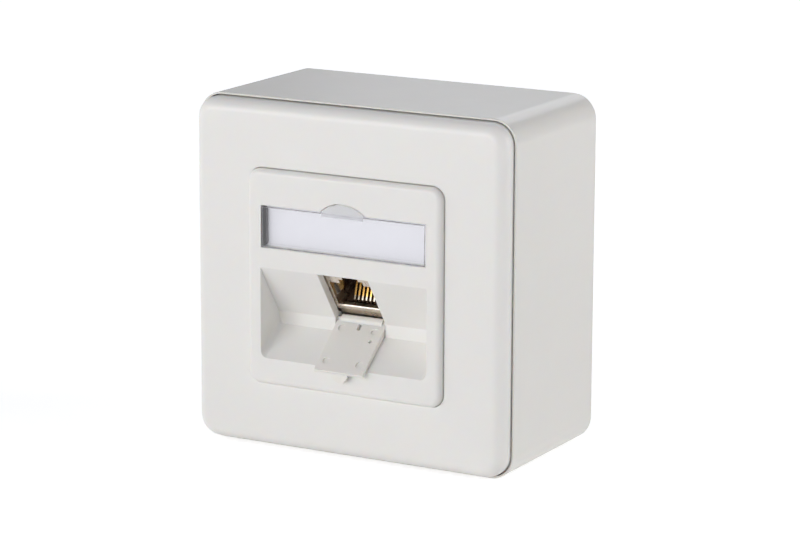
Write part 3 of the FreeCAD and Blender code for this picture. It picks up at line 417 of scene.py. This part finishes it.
def window_front(name, finish, sizes, outline):
    """Front of the window: painted shade as a dark border line, standing in for refraction there, and as a
    grey bar below the tab, standing in for the shade of the tab's step; the tab itself paler.
    """
    look = polish(Finish(name))
    calc = look.calc
    half, bottom, top = outline
    x, _, z = look.split(look.place())
    off_middle = calc("ABSOLUTE", x)
    under_tab = calc("LESS_THAN", off_middle, sizes.tab_bar_half)
    tab = calc("GREATER_THAN", z, top)
    bar = calc("MULTIPLY", under_tab, calc("GREATER_THAN", z, top - sizes.tab_bar_drop))
    beyond_side = calc("SUBTRACT", off_middle, half)
    beyond_low = calc("SUBTRACT", bottom, z)
    beyond_top = calc("SUBTRACT", calc("SUBTRACT", z, top), under_tab)      # no line where the tab begins
    beyond = calc("MAXIMUM", calc("MAXIMUM", beyond_side, beyond_low), beyond_top)
    near = calc("SUBTRACT", 1.0, calc("DIVIDE", calc("ABSOLUTE", beyond), sizes.window_shade_line))
    broken = look.spread(look.noise(width=2.2 * MM), low=0.55, high=1.0)
    # painted shade: the border line, broken up by noise, and the bar below the tab darken the colour and make
    # the window less clear
    line = calc("MULTIPLY", calc("MAXIMUM", near, 0.0), broken)
    dark = look.total(0.0, (line, 1.5), (bar, 0.42), (tab, -0.3))
    look.colour(look.tint(dark, finish.window, finish.window_edge_shade))
    look.feed(look.shader.inputs["Alpha"], look.total(0.12, (dark, 0.75), (tab, 0.4)))
    return look.material


def glazed_board(name, base):
    """Coated board: weave under a glossy coat."""
    look = Finish(name)
    weave = look.noise(width=0.3 * MM, stretch=(1.0, 0.2, 1.0))
    look.mottle(weave, base, dark=0.8, pale=1.25)
    look.bump(weave, height=0.01 * MM, strength=0.4)
    return look.set(Roughness=0.3, Coat_Weight=0.4).material


def contact_plating(name, finish, line_z, blend):
    """Contacts: gold on the rise into the mouth, tin on the front bend and the run below."""
    look = Finish(name)
    height = look.split(look.place())[2]
    rise = look.mapped(height, (line_z - blend, line_z + blend), kind="SMOOTHSTEP")
    look.colour(look.tint(rise, finish.tin, finish.gold))
    look.roughness(look.noise(width=0.3 * MM), low=0.18, high=0.3)
    return look.set(Metallic=1.0).material


# ---- mesh helpers -------------------------------------------------------------------------------
def keep(name, mesh, material, *nodes):
    """Links a finished mesh as a piece that stands for CAD nodes and rides on their body."""
    piece = bpy.data.objects.new(name, mesh)
    bpy.context.scene.collection.objects.link(piece)
    mesh.materials.clear()
    mesh.materials.append(material)
    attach(piece, body_of_node(nodes[0]))
    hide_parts(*nodes)
    slot_of_node(nodes[0])
    return piece


def even(piece):
    """Evens out a piece's shading up to its sharp edges."""
    shading = piece.modifiers.new("Even shading", "WEIGHTED_NORMAL")
    shading.keep_sharp = True
    shading.weight = 100


def soften(piece, width, segments=2, weighted=False):
    """Rounds a piece's sharp edges and evens out its shading."""
    bevel = piece.modifiers.new("Soft edges", "BEVEL")
    bevel.width = width
    bevel.segments = segments
    bevel.limit_method = "WEIGHT" if weighted else "ANGLE"
    bevel.angle_limit = SHARP
    bevel.use_clamp_overlap = not weighted
    bevel.harden_normals = True
    even(piece)


def merged(node, shortest):
    """A copy of a CAD node's mesh, joined up and ready to be softened."""
    shape = bmesh.new()
    shape.from_mesh(frame["nodes"][node].data)
    bmesh.ops.remove_doubles(shape, verts=shape.verts, dist=WELD)
    return finished(node, weighed(shape, shortest))


def weighed(shape, shortest):
    """The bmesh, smooth apart from its sharp edges, with bevel weight on those longer than shortest."""
    weight = shape.edges.layers.float.new("bevel_weight_edge")
    sharp = {edge for edge in shape.edges if edge.is_manifold and edge.calc_face_angle(0.0) > SHARP}
    for face in shape.faces:
        face.smooth = True
    for edge in shape.edges:
        edge.smooth = edge not in sharp
        beside = [other for corner in edge.verts for other in corner.link_edges if other in sharp]
        if edge in sharp and all(other.calc_length() > shortest for other in beside):
            edge[weight] = 1.0
    return shape


def finished(name, shape):
    """The bmesh as a mesh."""
    mesh = bpy.data.meshes.new(name)
    shape.to_mesh(mesh)
    shape.free()
    return mesh


def ring(half, radius, y, steps):
    """Points of a rounded square about the Y axis."""
    points = []
    for quarter, (sx, sz) in enumerate(((1, 1), (-1, 1), (-1, -1), (1, -1))):
        for i in range(steps + 1):
            turn = (quarter + i / steps) * pi / 2
            points.append((sx * (half - radius) + radius * cos(turn), y,
                           sz * (half - radius) + radius * sin(turn)))
    return points


def turned_edge(first, last, inwards, steps):
    """(half, radius, y) of the rings round a quarter-round edge between two rings.

    inwards is True where the edge leaves first along the depth and reaches last across it.
    """
    rows = []
    for i in range(steps + 1):
        a = i / steps * pi / 2
        across, deep = (1 - cos(a), sin(a)) if inwards else (sin(a), 1 - cos(a))
        rows.append(tuple(p + (q - p) * w for p, q, w in zip(first, last, (across, across, deep))))
    return rows


def skin(shape, loops, closed=False):
    """Faces from each loop of points to the next, and from the last to the first or else across the ends."""
    corners = [[shape.verts.new(point) for point in loop] for loop in loops]
    if not closed:
        shape.faces.new(corners[0])
        shape.faces.new(corners[-1])
    for one, other in zip(corners, corners[1:] + corners[:1] if closed else corners[1:]):
        for i in range(len(one)):
            j = (i + 1) % len(one)
            shape.faces.new((one[i], one[j], other[j], other[i]))
    bmesh.ops.recalc_face_normals(shape, faces=shape.faces)


def smoothed(name, shape):
    """The bmesh as a smooth mesh with its sharp edges marked."""
    for face in shape.faces:
        face.smooth = True
    mesh = finished(name, shape)
    mesh.set_sharp_from_angle(angle=SHARP)
    return mesh


def solid(shape, loop, across):
    """Adds a closed prism to a bmesh: a flat loop of points and the same loop moved across."""
    skin(shape, (loop, [Vector(point) + across for point in loop]))


def circle(centre, one, other, radius, steps, turn=2 * pi):
    """Points on a circle or the first part of one, spanned by two unit vectors."""
    count = steps if turn >= 2 * pi else steps + 1
    turns = [turn * i / steps for i in range(count)]
    return [centre + radius * (cos(a) * one + sin(a) * other) for a in turns]


def repeating_tree(name):
    """Geometry nodes that repeat a source object over a grid of columns and rows."""
    tree = bpy.data.node_groups.new(name, "GeometryNodeTree")
    sockets = {}
    for label, kind in (("Source", "NodeSocketObject"), ("Columns", "NodeSocketInt"),
                        ("Column step", "NodeSocketVector"), ("Rows", "NodeSocketInt"),
                        ("Row step", "NodeSocketVector"), ("Sway", "NodeSocketVector"),
                        ("Seed", "NodeSocketInt"), ("Material", "NodeSocketMaterial")):
        sockets[label] = tree.interface.new_socket(name=label, in_out="INPUT", socket_type=kind).identifier
    tree.interface.new_socket(name="Geometry", in_out="OUTPUT", socket_type="NodeSocketGeometry")
    given = tree.nodes.new("NodeGroupInput")
    out = tree.nodes.new("NodeGroupOutput")
    link = tree.links.new

    def line(count, step):
        """Points in a line from the origin."""
        node = tree.nodes.new("GeometryNodeMeshLine")
        link(given.outputs[count], node.inputs["Count"])
        link(given.outputs[step], node.inputs["Offset"])
        return node.outputs["Mesh"]

    grid = tree.nodes.new("GeometryNodeInstanceOnPoints")
    link(line("Rows", "Row step"), grid.inputs["Points"])
    link(line("Columns", "Column step"), grid.inputs["Instance"])
    points = tree.nodes.new("GeometryNodeRealizeInstances")
    link(grid.outputs["Instances"], points.inputs["Geometry"])
    source = tree.nodes.new("GeometryNodeObjectInfo")
    link(given.outputs["Source"], source.inputs["Object"])
    back = tree.nodes.new("ShaderNodeVectorMath")
    back.operation = "SCALE"
    back.inputs["Scale"].default_value = -1.0
    link(given.outputs["Sway"], back.inputs[0])
    sway = tree.nodes.new("FunctionNodeRandomValue")
    sway.data_type = "FLOAT_VECTOR"
    link(back.outputs["Vector"], sway.inputs["Min"])
    link(given.outputs["Sway"], sway.inputs["Max"])
    link(given.outputs["Seed"], sway.inputs["Seed"])
    moved = tree.nodes.new("GeometryNodeSetPosition")
    link(points.outputs["Geometry"], moved.inputs["Geometry"])
    link(sway.outputs["Value"], moved.inputs["Offset"])
    copies = tree.nodes.new("GeometryNodeInstanceOnPoints")
    link(moved.outputs["Geometry"], copies.inputs["Points"])
    link(source.outputs["Geometry"], copies.inputs["Instance"])
    real = tree.nodes.new("GeometryNodeRealizeInstances")
    link(copies.outputs["Instances"], real.inputs["Geometry"])
    finish = tree.nodes.new("GeometryNodeSetMaterial")
    link(real.outputs["Geometry"], finish.inputs["Geometry"])
    link(given.outputs["Material"], finish.inputs["Material"])
    link(finish.outputs["Geometry"], out.inputs["Geometry"])
    return tree, sockets


def repeated(name, source_mesh, material, columns, column_step, rows=1, row_step=(0.0, 0.0, 0.0),
             sway=(0.0, 0.0, 0.0)):
    """One plain mesh of a source repeated over columns and rows by geometry nodes."""
    scene = bpy.context.scene
    source = bpy.data.objects.new(name + "_source", source_mesh)
    holder = bpy.data.objects.new(name + "_rows", bpy.data.meshes.new(name + "_rows"))
    for item in (source, holder):
        scene.collection.objects.link(item)
    tree, sockets = repeating_tree(name + "_tree")
    repeat = holder.modifiers.new("Repeat", "NODES")
    repeat.node_group = tree
    inputs = {"Source": source, "Columns": columns, "Column step": column_step, "Rows": rows,
              "Row step": row_step, "Sway": sway, "Seed": REPEAT_SEED, "Material": material}
    for label, value in inputs.items():
        repeat[sockets[label]] = value
    mesh = plain(holder, name)
    for item in (source, holder):
        bpy.data.objects.remove(item)
    bpy.data.node_groups.remove(tree)
    return mesh


def plain(item, name):
    """An object's mesh with its modifiers worked in."""
    graph = bpy.context.evaluated_depsgraph_get()
    mesh = bpy.data.meshes.new_from_object(item.evaluated_get(graph), depsgraph=graph)
    mesh.name = name
    return mesh


def body_of_node(node):
    """The name of the CAD body that carries a node."""
    for body, nodes in frame["record"]["behaviour"]["bodies"].items():
        if node in nodes:
            return body
    raise KeyError(node)


def slot_of_node(node):
    """The record's material slot of a node."""
    for part in frame["record"]["subparts"]:
        if part["node"] == node:
            return part["material_slot"]
    raise KeyError(node)


def dress(material, width, *nodes):
    """A merged copy of each CAD node, with softened edges, stands for it; the last one is handed back."""
    for node in nodes:
        piece = keep(node + "_dressed", merged(node, 2 * width), material, node)
        soften(piece, width, weighted=True)
    return piece


def paint(material, *nodes):
    """Gives CAD nodes that stay showing their finish."""
    for node in nodes:
        piece = frame["nodes"][node]
        piece.data.materials.clear()
        piece.data.materials.append(material)


# ---- operators ----------------------------------------------------------------------------------
class JACKBOX_OT_wall_box(Operator):
    """Dresses the box on the wall"""
    bl_idname = "jackbox.wall_box"
    bl_label = "Wall box"

    def execute(self, context):
        sizes, finish = context.scene.jackbox_sizes, context.scene.jackbox_finish
        white = moulded("moulded_box", finish.box_white, finish.box_gloss, finish)
        dress(white, sizes.soft_edge, "surface_box")
        return {"FINISHED"}


class JACKBOX_OT_cover_frame(Operator):
    """Builds the square cover frame from its section"""
    bl_idname = "jackbox.cover_frame"
    bl_label = "Cover frame"

    def execute(self, context):
        sizes, finish = context.scene.jackbox_sizes, context.scene.jackbox_finish
        low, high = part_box("cover_frame")
        half, front, back = high[0] - sizes.frame_gap, low[1], high[1]
        corner, round_r = sizes.frame_corner, sizes.frame_rounding
        mouth, mouth_r, soft = sizes.mouth_side / 2, sizes.mouth_corner, sizes.mouth_rounding
        ledge, ledge_r = sizes.ledge_side / 2, sizes.ledge_corner
        wall, skirt, edge = sizes.frame_wall, sizes.frame_skirt, sizes.frame_skirt_edge
        seat = front + sizes.mouth_depth
        collar, collar_r = mouth + wall, mouth_r + wall
        inner, inner_r = half - skirt, corner - skirt
        collar_back = seat + sizes.ledge_thick
        rows = turned_edge((half, corner, front + round_r), (half - round_r, corner - round_r, front),
                           inwards=True, steps=10)
        shoulder = round_r + sizes.flat_margin
        rows.append((half - shoulder, corner - shoulder, front))
        rows.append((mouth + soft + sizes.flat_margin, mouth_r + soft + sizes.flat_margin, front))
        rows += turned_edge((mouth + soft, mouth_r + soft, front), (mouth, mouth_r, front + soft),
                            inwards=False, steps=4)
        rows += [(mouth, mouth_r, seat), (ledge, ledge_r, seat), (ledge, ledge_r, collar_back),
                 (collar, collar_r, collar_back), (collar, collar_r, front + wall),
                 (inner, inner_r, front + wall)]
        rows += turned_edge((inner, inner_r, back - edge), (inner + edge, inner_r + edge, back),
                            inwards=True, steps=2)
        rows += turned_edge((half - edge, corner - edge, back), (half, corner, back - edge),
                            inwards=False, steps=2)
        shape = bmesh.new()
        skin(shape, [ring(*row, sizes.corner_steps) for row in rows], closed=True)
        white = moulded("moulded_cover", finish.cover_white, finish.gloss, finish)
        even(keep("cover_frame_moulded", smoothed("cover_frame", shape), white, "cover_frame"))
        return {"FINISHED"}


class JACKBOX_OT_centre_plate(Operator):
    """Dresses the centre plate with its recess"""
    bl_idname = "jackbox.centre_plate"
    bl_label = "Centre plate"

    def execute(self, context):
        sizes = context.scene.jackbox_sizes
        dress(bpy.data.materials["moulded_cover"], sizes.soft_edge, "centre_plate")
        return {"FINISHED"}


class JACKBOX_OT_label(Operator):
    """Dresses the label card and its clear window"""
    bl_idname = "jackbox.label"
    bl_label = "Label"

    def execute(self, context):
        sizes, finish = context.scene.jackbox_sizes, context.scene.jackbox_finish
        low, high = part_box("label_window")
        outline = (high[0], low[2], high[2] - sizes.tab_rise)
        clear = clear_plastic("clear_window", finish.window, cover=0.03)
        piece = dress(clear, sizes.window_rounding, "label_window")
        window = piece.data
        window.materials.append(window_front("window_front", finish, sizes, outline))
        window.materials.append(clear_plastic("window_side", finish.window_edge_shade, cover=0.78))
        for corner in window.vertices:
            if corner.co.y > high[1] - sizes.window_gap / 4:
                corner.co.y -= sizes.window_gap         # the back, which touches the card
        # painted shade: the sideways faces at the window's left end get the dark, nearly opaque colour,
        # standing in for the shaded pocket wall and dark refraction seen there
        for face in window.polygons:
            front = face.normal.y < -FACING and face.center.y < low[1] + 2 * sizes.window_rounding
            sideways = abs(face.normal.x) > FACING or face.normal.y > FACING
            at_left_end = sideways and face.center.x < 0.9 * low[0]
            face.material_index = 1 if front else 2 if at_left_end else 0
        paint(paper("card_paper", finish.card), "label_card")
        return {"FINISHED"}


class JACKBOX_OT_dust_flap(Operator):
    """Builds the wedge-shaped flap with its barrel, pins, finger lug and mould marks"""
    bl_idname = "jackbox.dust_flap"
    bl_label = "Dust flap"

    def execute(self, context):
        sizes, finish = context.scene.jackbox_sizes, context.scene.jackbox_finish
        joint = next(j for j in frame["record"]["behaviour"]["joints"] if j["name"] == "flap_hinge")
        pin = Vector(joint["pos_m"])
        rest = radians(joint["range_deg"][1]) - (pi / 2 - sizes.slant_angle)
        out, up = Vector((0.0, -cos(rest), -sin(rest))), Vector((0.0, -sin(rest), cos(rest)))
        across = Vector((1.0, 0.0, 0.0))
        white = moulded("moulded_flap", finish.flap_white, finish.gloss, finish)
        drop = (sizes.flap_root - sizes.flap_tip) / sizes.flap_length

        def at(x, along, above):
            """A point on the flap: across, out from the hinge, and above its underside."""
            return pin + x * across + along * out + (above - sizes.flap_under) * up

        leaf = self.leaf(sizes, at, drop)
        marks = self.marks(sizes, at, up, across, drop, white)
        cut = leaf.modifiers.new("Marks", "BOOLEAN")
        cut.object = marks
        cut.solver = "EXACT"
        mesh = plain(leaf, "dust_flap")
        for item in (leaf, marks):
            bpy.data.objects.remove(item)
        shape = bmesh.new()
        shape.from_mesh(mesh)
        weighed(shape, 2 * sizes.flap_edge)
        barrel = (sizes.barrel_radius, sizes.flap_half - sizes.flap_corner)
        pins = (sizes.pin_radius, sizes.flap_half + sizes.pin_length)
        for radius, half in (barrel, pins):
            solid(shape, circle(pin - half * across, out, up, radius, steps=40), 2 * half * across)
        tip = at(0.0, sizes.flap_length, sizes.flap_tip / 2)
        lug = Vector((0.0, at(0.0, sizes.flap_length, 0.0).y, tip.z))
        down = Vector((0.0, 0.0, -1.0))
        arc = circle(lug, across, down, sizes.lug_radius, steps=24, turn=LUG_TURN)
        solid(shape, arc, Vector((0.0, sizes.lug_thick, 0.0)))
        piece = keep("dust_flap_moulded", smoothed("dust_flap", shape), white, "dust_flap")
        soften(piece, sizes.flap_edge, segments=3, weighted=True)
        return {"FINISHED"}

    def leaf(self, sizes, at, drop):
        """The leaf as an object: a wedge with bevelled corners at the hinge."""
        half, corner, length = sizes.flap_half, sizes.flap_corner, sizes.flap_length
        plan = [(-half + corner, 0.0), (half - corner, 0.0), (half, corner), (half, length), (-half, length),
                (-half, corner)]
        shape = bmesh.new()
        skin(shape, ([at(x, along, 0.0) for x, along in plan],
                     [at(x, along, sizes.flap_root - drop * along) for x, along in plan]))
        return self.link("flap_leaf", finished("flap_leaf", shape))

    def marks(self, sizes, at, up, across, drop, material):
        """What is cut out of the leaf's face: four ejector pin marks, the gate mark and a notch."""
        side = sizes.mark_side
        face = (at(0.0, sizes.flap_length, sizes.flap_tip) - at(0.0, 0.0, sizes.flap_root)).normalized()
        normal = face.cross(across)
        normal = normal if normal.dot(up) > 0 else -normal
        above = CUTTER_HEIGHT * normal

        def spot(x, along, depth):
            """A point below the leaf's face."""
            return at(x, along, sizes.flap_root - drop * along) - depth * normal

        shape = bmesh.new()
        first = spot(-side, sizes.mark_near, sizes.mark_depth)
        solid(shape, circle(first, across, face, sizes.mark_radius, steps=32), above)
        pins = repeated("ejector_marks", finished("ejector_pin", shape), material, 2, 2 * side * across,
                        2, spot(-side, sizes.mark_far, sizes.mark_depth) - first)
        shape = bmesh.new()
        shape.from_mesh(pins)
        gate = spot(side, sizes.gate_place, sizes.gate_depth)
        solid(shape, circle(gate, across, face, sizes.gate_radius, steps=20), above)
        notch = spot(-sizes.gate_radius, sizes.barrel_radius, sizes.notch_depth)
        long, wide = sizes.notch_length * face, 2 * sizes.gate_radius * across
        solid(shape, [notch, notch + long, notch + long + wide, notch + wide], above)
        return self.link("flap_marks", finished("flap_marks", shape))

    def link(self, name, mesh):
        """A scene object that only helps to make the flap."""
        item = bpy.data.objects.new(name, mesh)
        bpy.context.scene.collection.objects.link(item)
        return item


class JACKBOX_OT_jack(Operator):
    """Dresses the jack's castings, springs and insulators"""
    bl_idname = "jackbox.jack"
    bl_label = "Jack"

    def execute(self, context):
        sizes, finish = context.scene.jackbox_sizes, context.scene.jackbox_finish
        metal = cast_metal("jack_casting", finish.jack_metal, rough=0.3)
        dress(metal, sizes.metal_edge, "jack_housing", "rear_shell")
        insulator = moulded("moulded_insulator", finish.insulator, rough=0.45, finish=finish)
        dress(insulator, sizes.insulator_edge, "contact_carrier", "idc_block", "wire_cap")
        spring = sheet_metal("spring_steel", finish.steel, rough=0.25)
        dress(spring, sizes.spring_edge, "shield_spring_left", "shield_spring_right", "earth_tab")
        dress(glazed_board("glazed_board", finish.board), sizes.board_edge, "circuit_board")
        return {"FINISHED"}


class JACKBOX_OT_contacts(Operator):
    """Builds the row of spring contacts and dresses the wire terminals"""
    bl_idname = "jackbox.contacts"
    bl_label = "Contacts"

    def execute(self, context):
        sizes, finish = context.scene.jackbox_sizes, context.scene.jackbox_finish
        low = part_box("contact_1")[0]
        gold = contact_plating("contact_gold", finish, low[2] + sizes.gold_line, sizes.gold_blend)
        count = sizes.contact_count
        mesh = repeated("contacts", self.contact(sizes, low[0]), gold, count, (sizes.contact_pitch, 0.0, 0.0),
                        sway=(0.0, 0.0, sizes.contact_sway))
        row = keep("contact_row", mesh, gold, *["contact_%d" % n for n in range(1, count + 1)])
        soften(row, sizes.contact_edge)
        tin = sheet_metal("terminal_tin", finish.tin, rough=0.3)
        dress(tin, sizes.terminal_edge, *["idc_contact_%d" % n for n in range(1, count + 1)])
        return {"FINISHED"}

    def contact(self, sizes, side):
        """One contact: a strip swept along its run, its bend and its rise into the mouth."""
        tilt = Matrix.Rotation(sizes.slant_angle, 4, "X")
        move = Matrix.Translation((0.0, -sizes.plate_front, sizes.slant_top))
        level, thick = -sizes.contact_level, sizes.contact_thick
        slope = atan2(sizes.contact_rise, sizes.contact_reach - sizes.contact_front)
        start = sizes.contact_front + thick
        path = [(sizes.contact_tail, level, 0.0)]
        bend_steps, rise_steps = 8, 6
        for i in range(bend_steps + 1):
            turn = (pi - slope) * i / bend_steps
            path.append((start - thick * sin(turn), level + thick - thick * cos(turn), turn))
        length = sizes.contact_rise / sin(slope) - thick
        last_t, last_s, turn = path[-1]
        for i in range(1, rise_steps + 1):
            far = length * i / rise_steps
            path.append((last_t + far * cos(slope), last_s + far * sin(slope), turn))
        loops = []
        for t, s, turn in path:
            off = Vector((0.0, sin(turn), cos(turn))) * thick / 2
            centre = Vector((0.0, t, s))
            corners = [(side, centre - off), (side + sizes.contact_width, centre - off),
                       (side + sizes.contact_width, centre + off), (side, centre + off)]
            loops.append([move @ tilt @ Vector((x, p.y, p.z)) for x, p in corners])
        shape = bmesh.new()
        skin(shape, loops)
        for face in shape.faces:
            face.smooth = True
        return finished("contact", shape)


class JACKBOX_OT_inside(Operator):
    """Dresses the ring, the screws and the cable clamp inside the box"""
    bl_idname = "jackbox.inside"
    bl_label = "Inside"

    def execute(self, context):
        sizes, finish = context.scene.jackbox_sizes, context.scene.jackbox_finish
        dress(sheet_metal("ring_steel", finish.steel, rough=0.32), sizes.ring_edge, "support_ring")
        screws = sheet_metal("screw_steel", shade(finish.steel, 1.08), rough=0.26)
        dress(screws, sizes.screw_edge, "ring_screws", "plate_screw", "clamp_screws")
        clamp = moulded("clamp_plastic", finish.box_white, rough=0.4, finish=finish)
        dress(clamp, sizes.clamp_edge, "cable_clamp")
        return {"FINISHED"}


class JACKBOX_OT_stage(Operator):
    """Sets up the floor, the light and the camera"""
    bl_idname = "jackbox.stage"
    bl_label = "Stage"

    def execute(self, context):
        scene, stage = context.scene, context.scene.jackbox_stage
        scene.view_settings.view_transform = "Standard"
        self.floor(scene, stage)
        self.world(scene, stage)
        for side in ("front", "side", "back"):
            self.lamp(scene, stage, side)
        self.camera(scene, stage)
        return {"FINISHED"}

    def floor(self, scene, stage):
        """A wide pale floor that shows white where it is seen or mirrored, apart from the shadow on it."""
        reach, level = stage.floor_reach, CAD_BOUNDS[0][2]
        corners = [(x * reach, y * reach, level) for x, y in ((-1, -1), (1, -1), (1, 1), (-1, 1))]
        mesh = bpy.data.meshes.new("Floor")
        mesh.from_pydata(corners, [], [(0, 1, 2, 3)])
        floor = bpy.data.objects.new("Floor", mesh)
        scene.collection.objects.link(floor)
        look = Finish("Floor")
        look.set(Base_Color=(stage.ground, stage.ground, stage.ground, 1.0), Roughness=0.9,
                 Specular_IOR_Level=0.0)
        rays = look.nodes.new("ShaderNodeLightPath").outputs
        seen = look.calc("MAXIMUM", rays["Is Camera Ray"], rays["Is Glossy Ray"])
        glow = look.nodes.new("ShaderNodeEmission")
        look.feed(glow.inputs["Strength"], look.calc("MULTIPLY", seen, stage.glow))
        both = look.nodes.new("ShaderNodeAddShader")
        look.feed(both.inputs[0], look.shader.outputs["BSDF"])
        look.feed(both.inputs[1], glow.outputs["Emission"])
        look.feed(look.nodes["Material Output"].inputs["Surface"], both.outputs["Shader"])
        mesh.materials.append(look.material)

    def world(self, scene, stage):
        """White to the camera; otherwise brighter level than above, and dimmer behind the object."""
        scene.world = bpy.data.worlds.new("Studio")
        look = Nodes(scene.world)
        to_right, to_back, to_top = (-0.1, 0.8), (-0.1, 0.5), (0.0, 0.65)      # where each light takes over
        x, y, z = look.split(look.nodes.new("ShaderNodeTexCoord").outputs["Generated"])
        level = Vector(stage.horizon_tone) * stage.horizon
        front = look.tint(look.mapped(x, to_right, kind="SMOOTHSTEP"), level, level * stage.right)
        around = look.tint(look.mapped(y, to_back, kind="SMOOTHSTEP"), front, level * stage.behind)
        above = Vector(stage.sky_tone) * stage.sky
        light = look.tint(look.mapped(z, to_top, kind="SMOOTHSTEP"), around, above)
        path = look.nodes.new("ShaderNodeLightPath")
        seen = look.tint(path.outputs["Is Camera Ray"], light, (1.0, 1.0, 1.0))
        look.feed(look.nodes["Background"].inputs["Color"], seen)

    def lamp(self, scene, stage, side):
        """A square soft lamp that looks at the object."""
        data = bpy.data.lights.new(side.title() + " lamp", "AREA")
        data.shape = "SQUARE"
        data.size = getattr(stage, side + "_width")
        data.energy = getattr(stage, side + "_power")
        data.color = getattr(stage, side + "_tone")
        lamp = bpy.data.objects.new(data.name, data)
        lamp.location = getattr(stage, side + "_place")
        lamp.rotation_euler = (Vector(stage.aim) - lamp.location).to_track_quat("-Z", "Y").to_euler()
        scene.collection.objects.link(lamp)

    def camera(self, scene, stage):
        """The camera, level apart from its dip and roll."""
        data = bpy.data.cameras.new("Camera")
        data.lens = stage.lens
        data.sensor_width = stage.sensor
        camera = bpy.data.objects.new("Camera", data)
        turn = Matrix.Rotation(stage.camera_turn, 4, "Z")
        dip = Matrix.Rotation(pi / 2 - stage.camera_dip, 4, "X")
        roll = Matrix.Rotation(stage.camera_roll, 4, "Z")
        camera.matrix_world = Matrix.Translation(stage.camera_place) @ turn @ dip @ roll
        scene.collection.objects.link(camera)
        scene.camera = camera


STEPS = (JACKBOX_OT_wall_box, JACKBOX_OT_cover_frame, JACKBOX_OT_centre_plate, JACKBOX_OT_label,
         JACKBOX_OT_dust_flap, JACKBOX_OT_jack, JACKBOX_OT_contacts, JACKBOX_OT_inside, JACKBOX_OT_stage)


class JACKBOX_PT_parts(Panel):
    """Lists the pieces and their sizes"""
    bl_idname = "JACKBOX_PT_parts"
    bl_label = "Jack box"
    bl_space_type = "VIEW_3D"
    bl_region_type = "UI"
    bl_category = "Jack box"

    def draw(self, context):
        layout = self.layout
        for step in STEPS:
            layout.operator(step.bl_idname)
        for group in (context.scene.jackbox_sizes, context.scene.jackbox_finish, context.scene.jackbox_stage):
            column = layout.column(align=True)
            for name in group.__annotations__:
                column.prop(group, name)


GROUPS = (("jackbox_sizes", JackBoxSizes), ("jackbox_finish", JackBoxFinish), ("jackbox_stage", JackBoxStage))


def register():
    for name, group in GROUPS:
        bpy.utils.register_class(group)
        setattr(bpy.types.Scene, name, PointerProperty(type=group))
    for step in STEPS:
        bpy.utils.register_class(step)
    bpy.utils.register_class(JACKBOX_PT_parts)


def unregister():
    bpy.utils.unregister_class(JACKBOX_PT_parts)
    for step in reversed(STEPS):
        bpy.utils.unregister_class(step)
    for name, group in reversed(GROUPS):
        delattr(bpy.types.Scene, name)
        bpy.utils.unregister_class(group)


def main():
    """Makes every piece and the stage."""
    register()
    for step in STEPS:
        area, name = step.bl_idname.split(".")
        getattr(getattr(bpy.ops, area), name)()


if __name__ == "__main__":
    main()
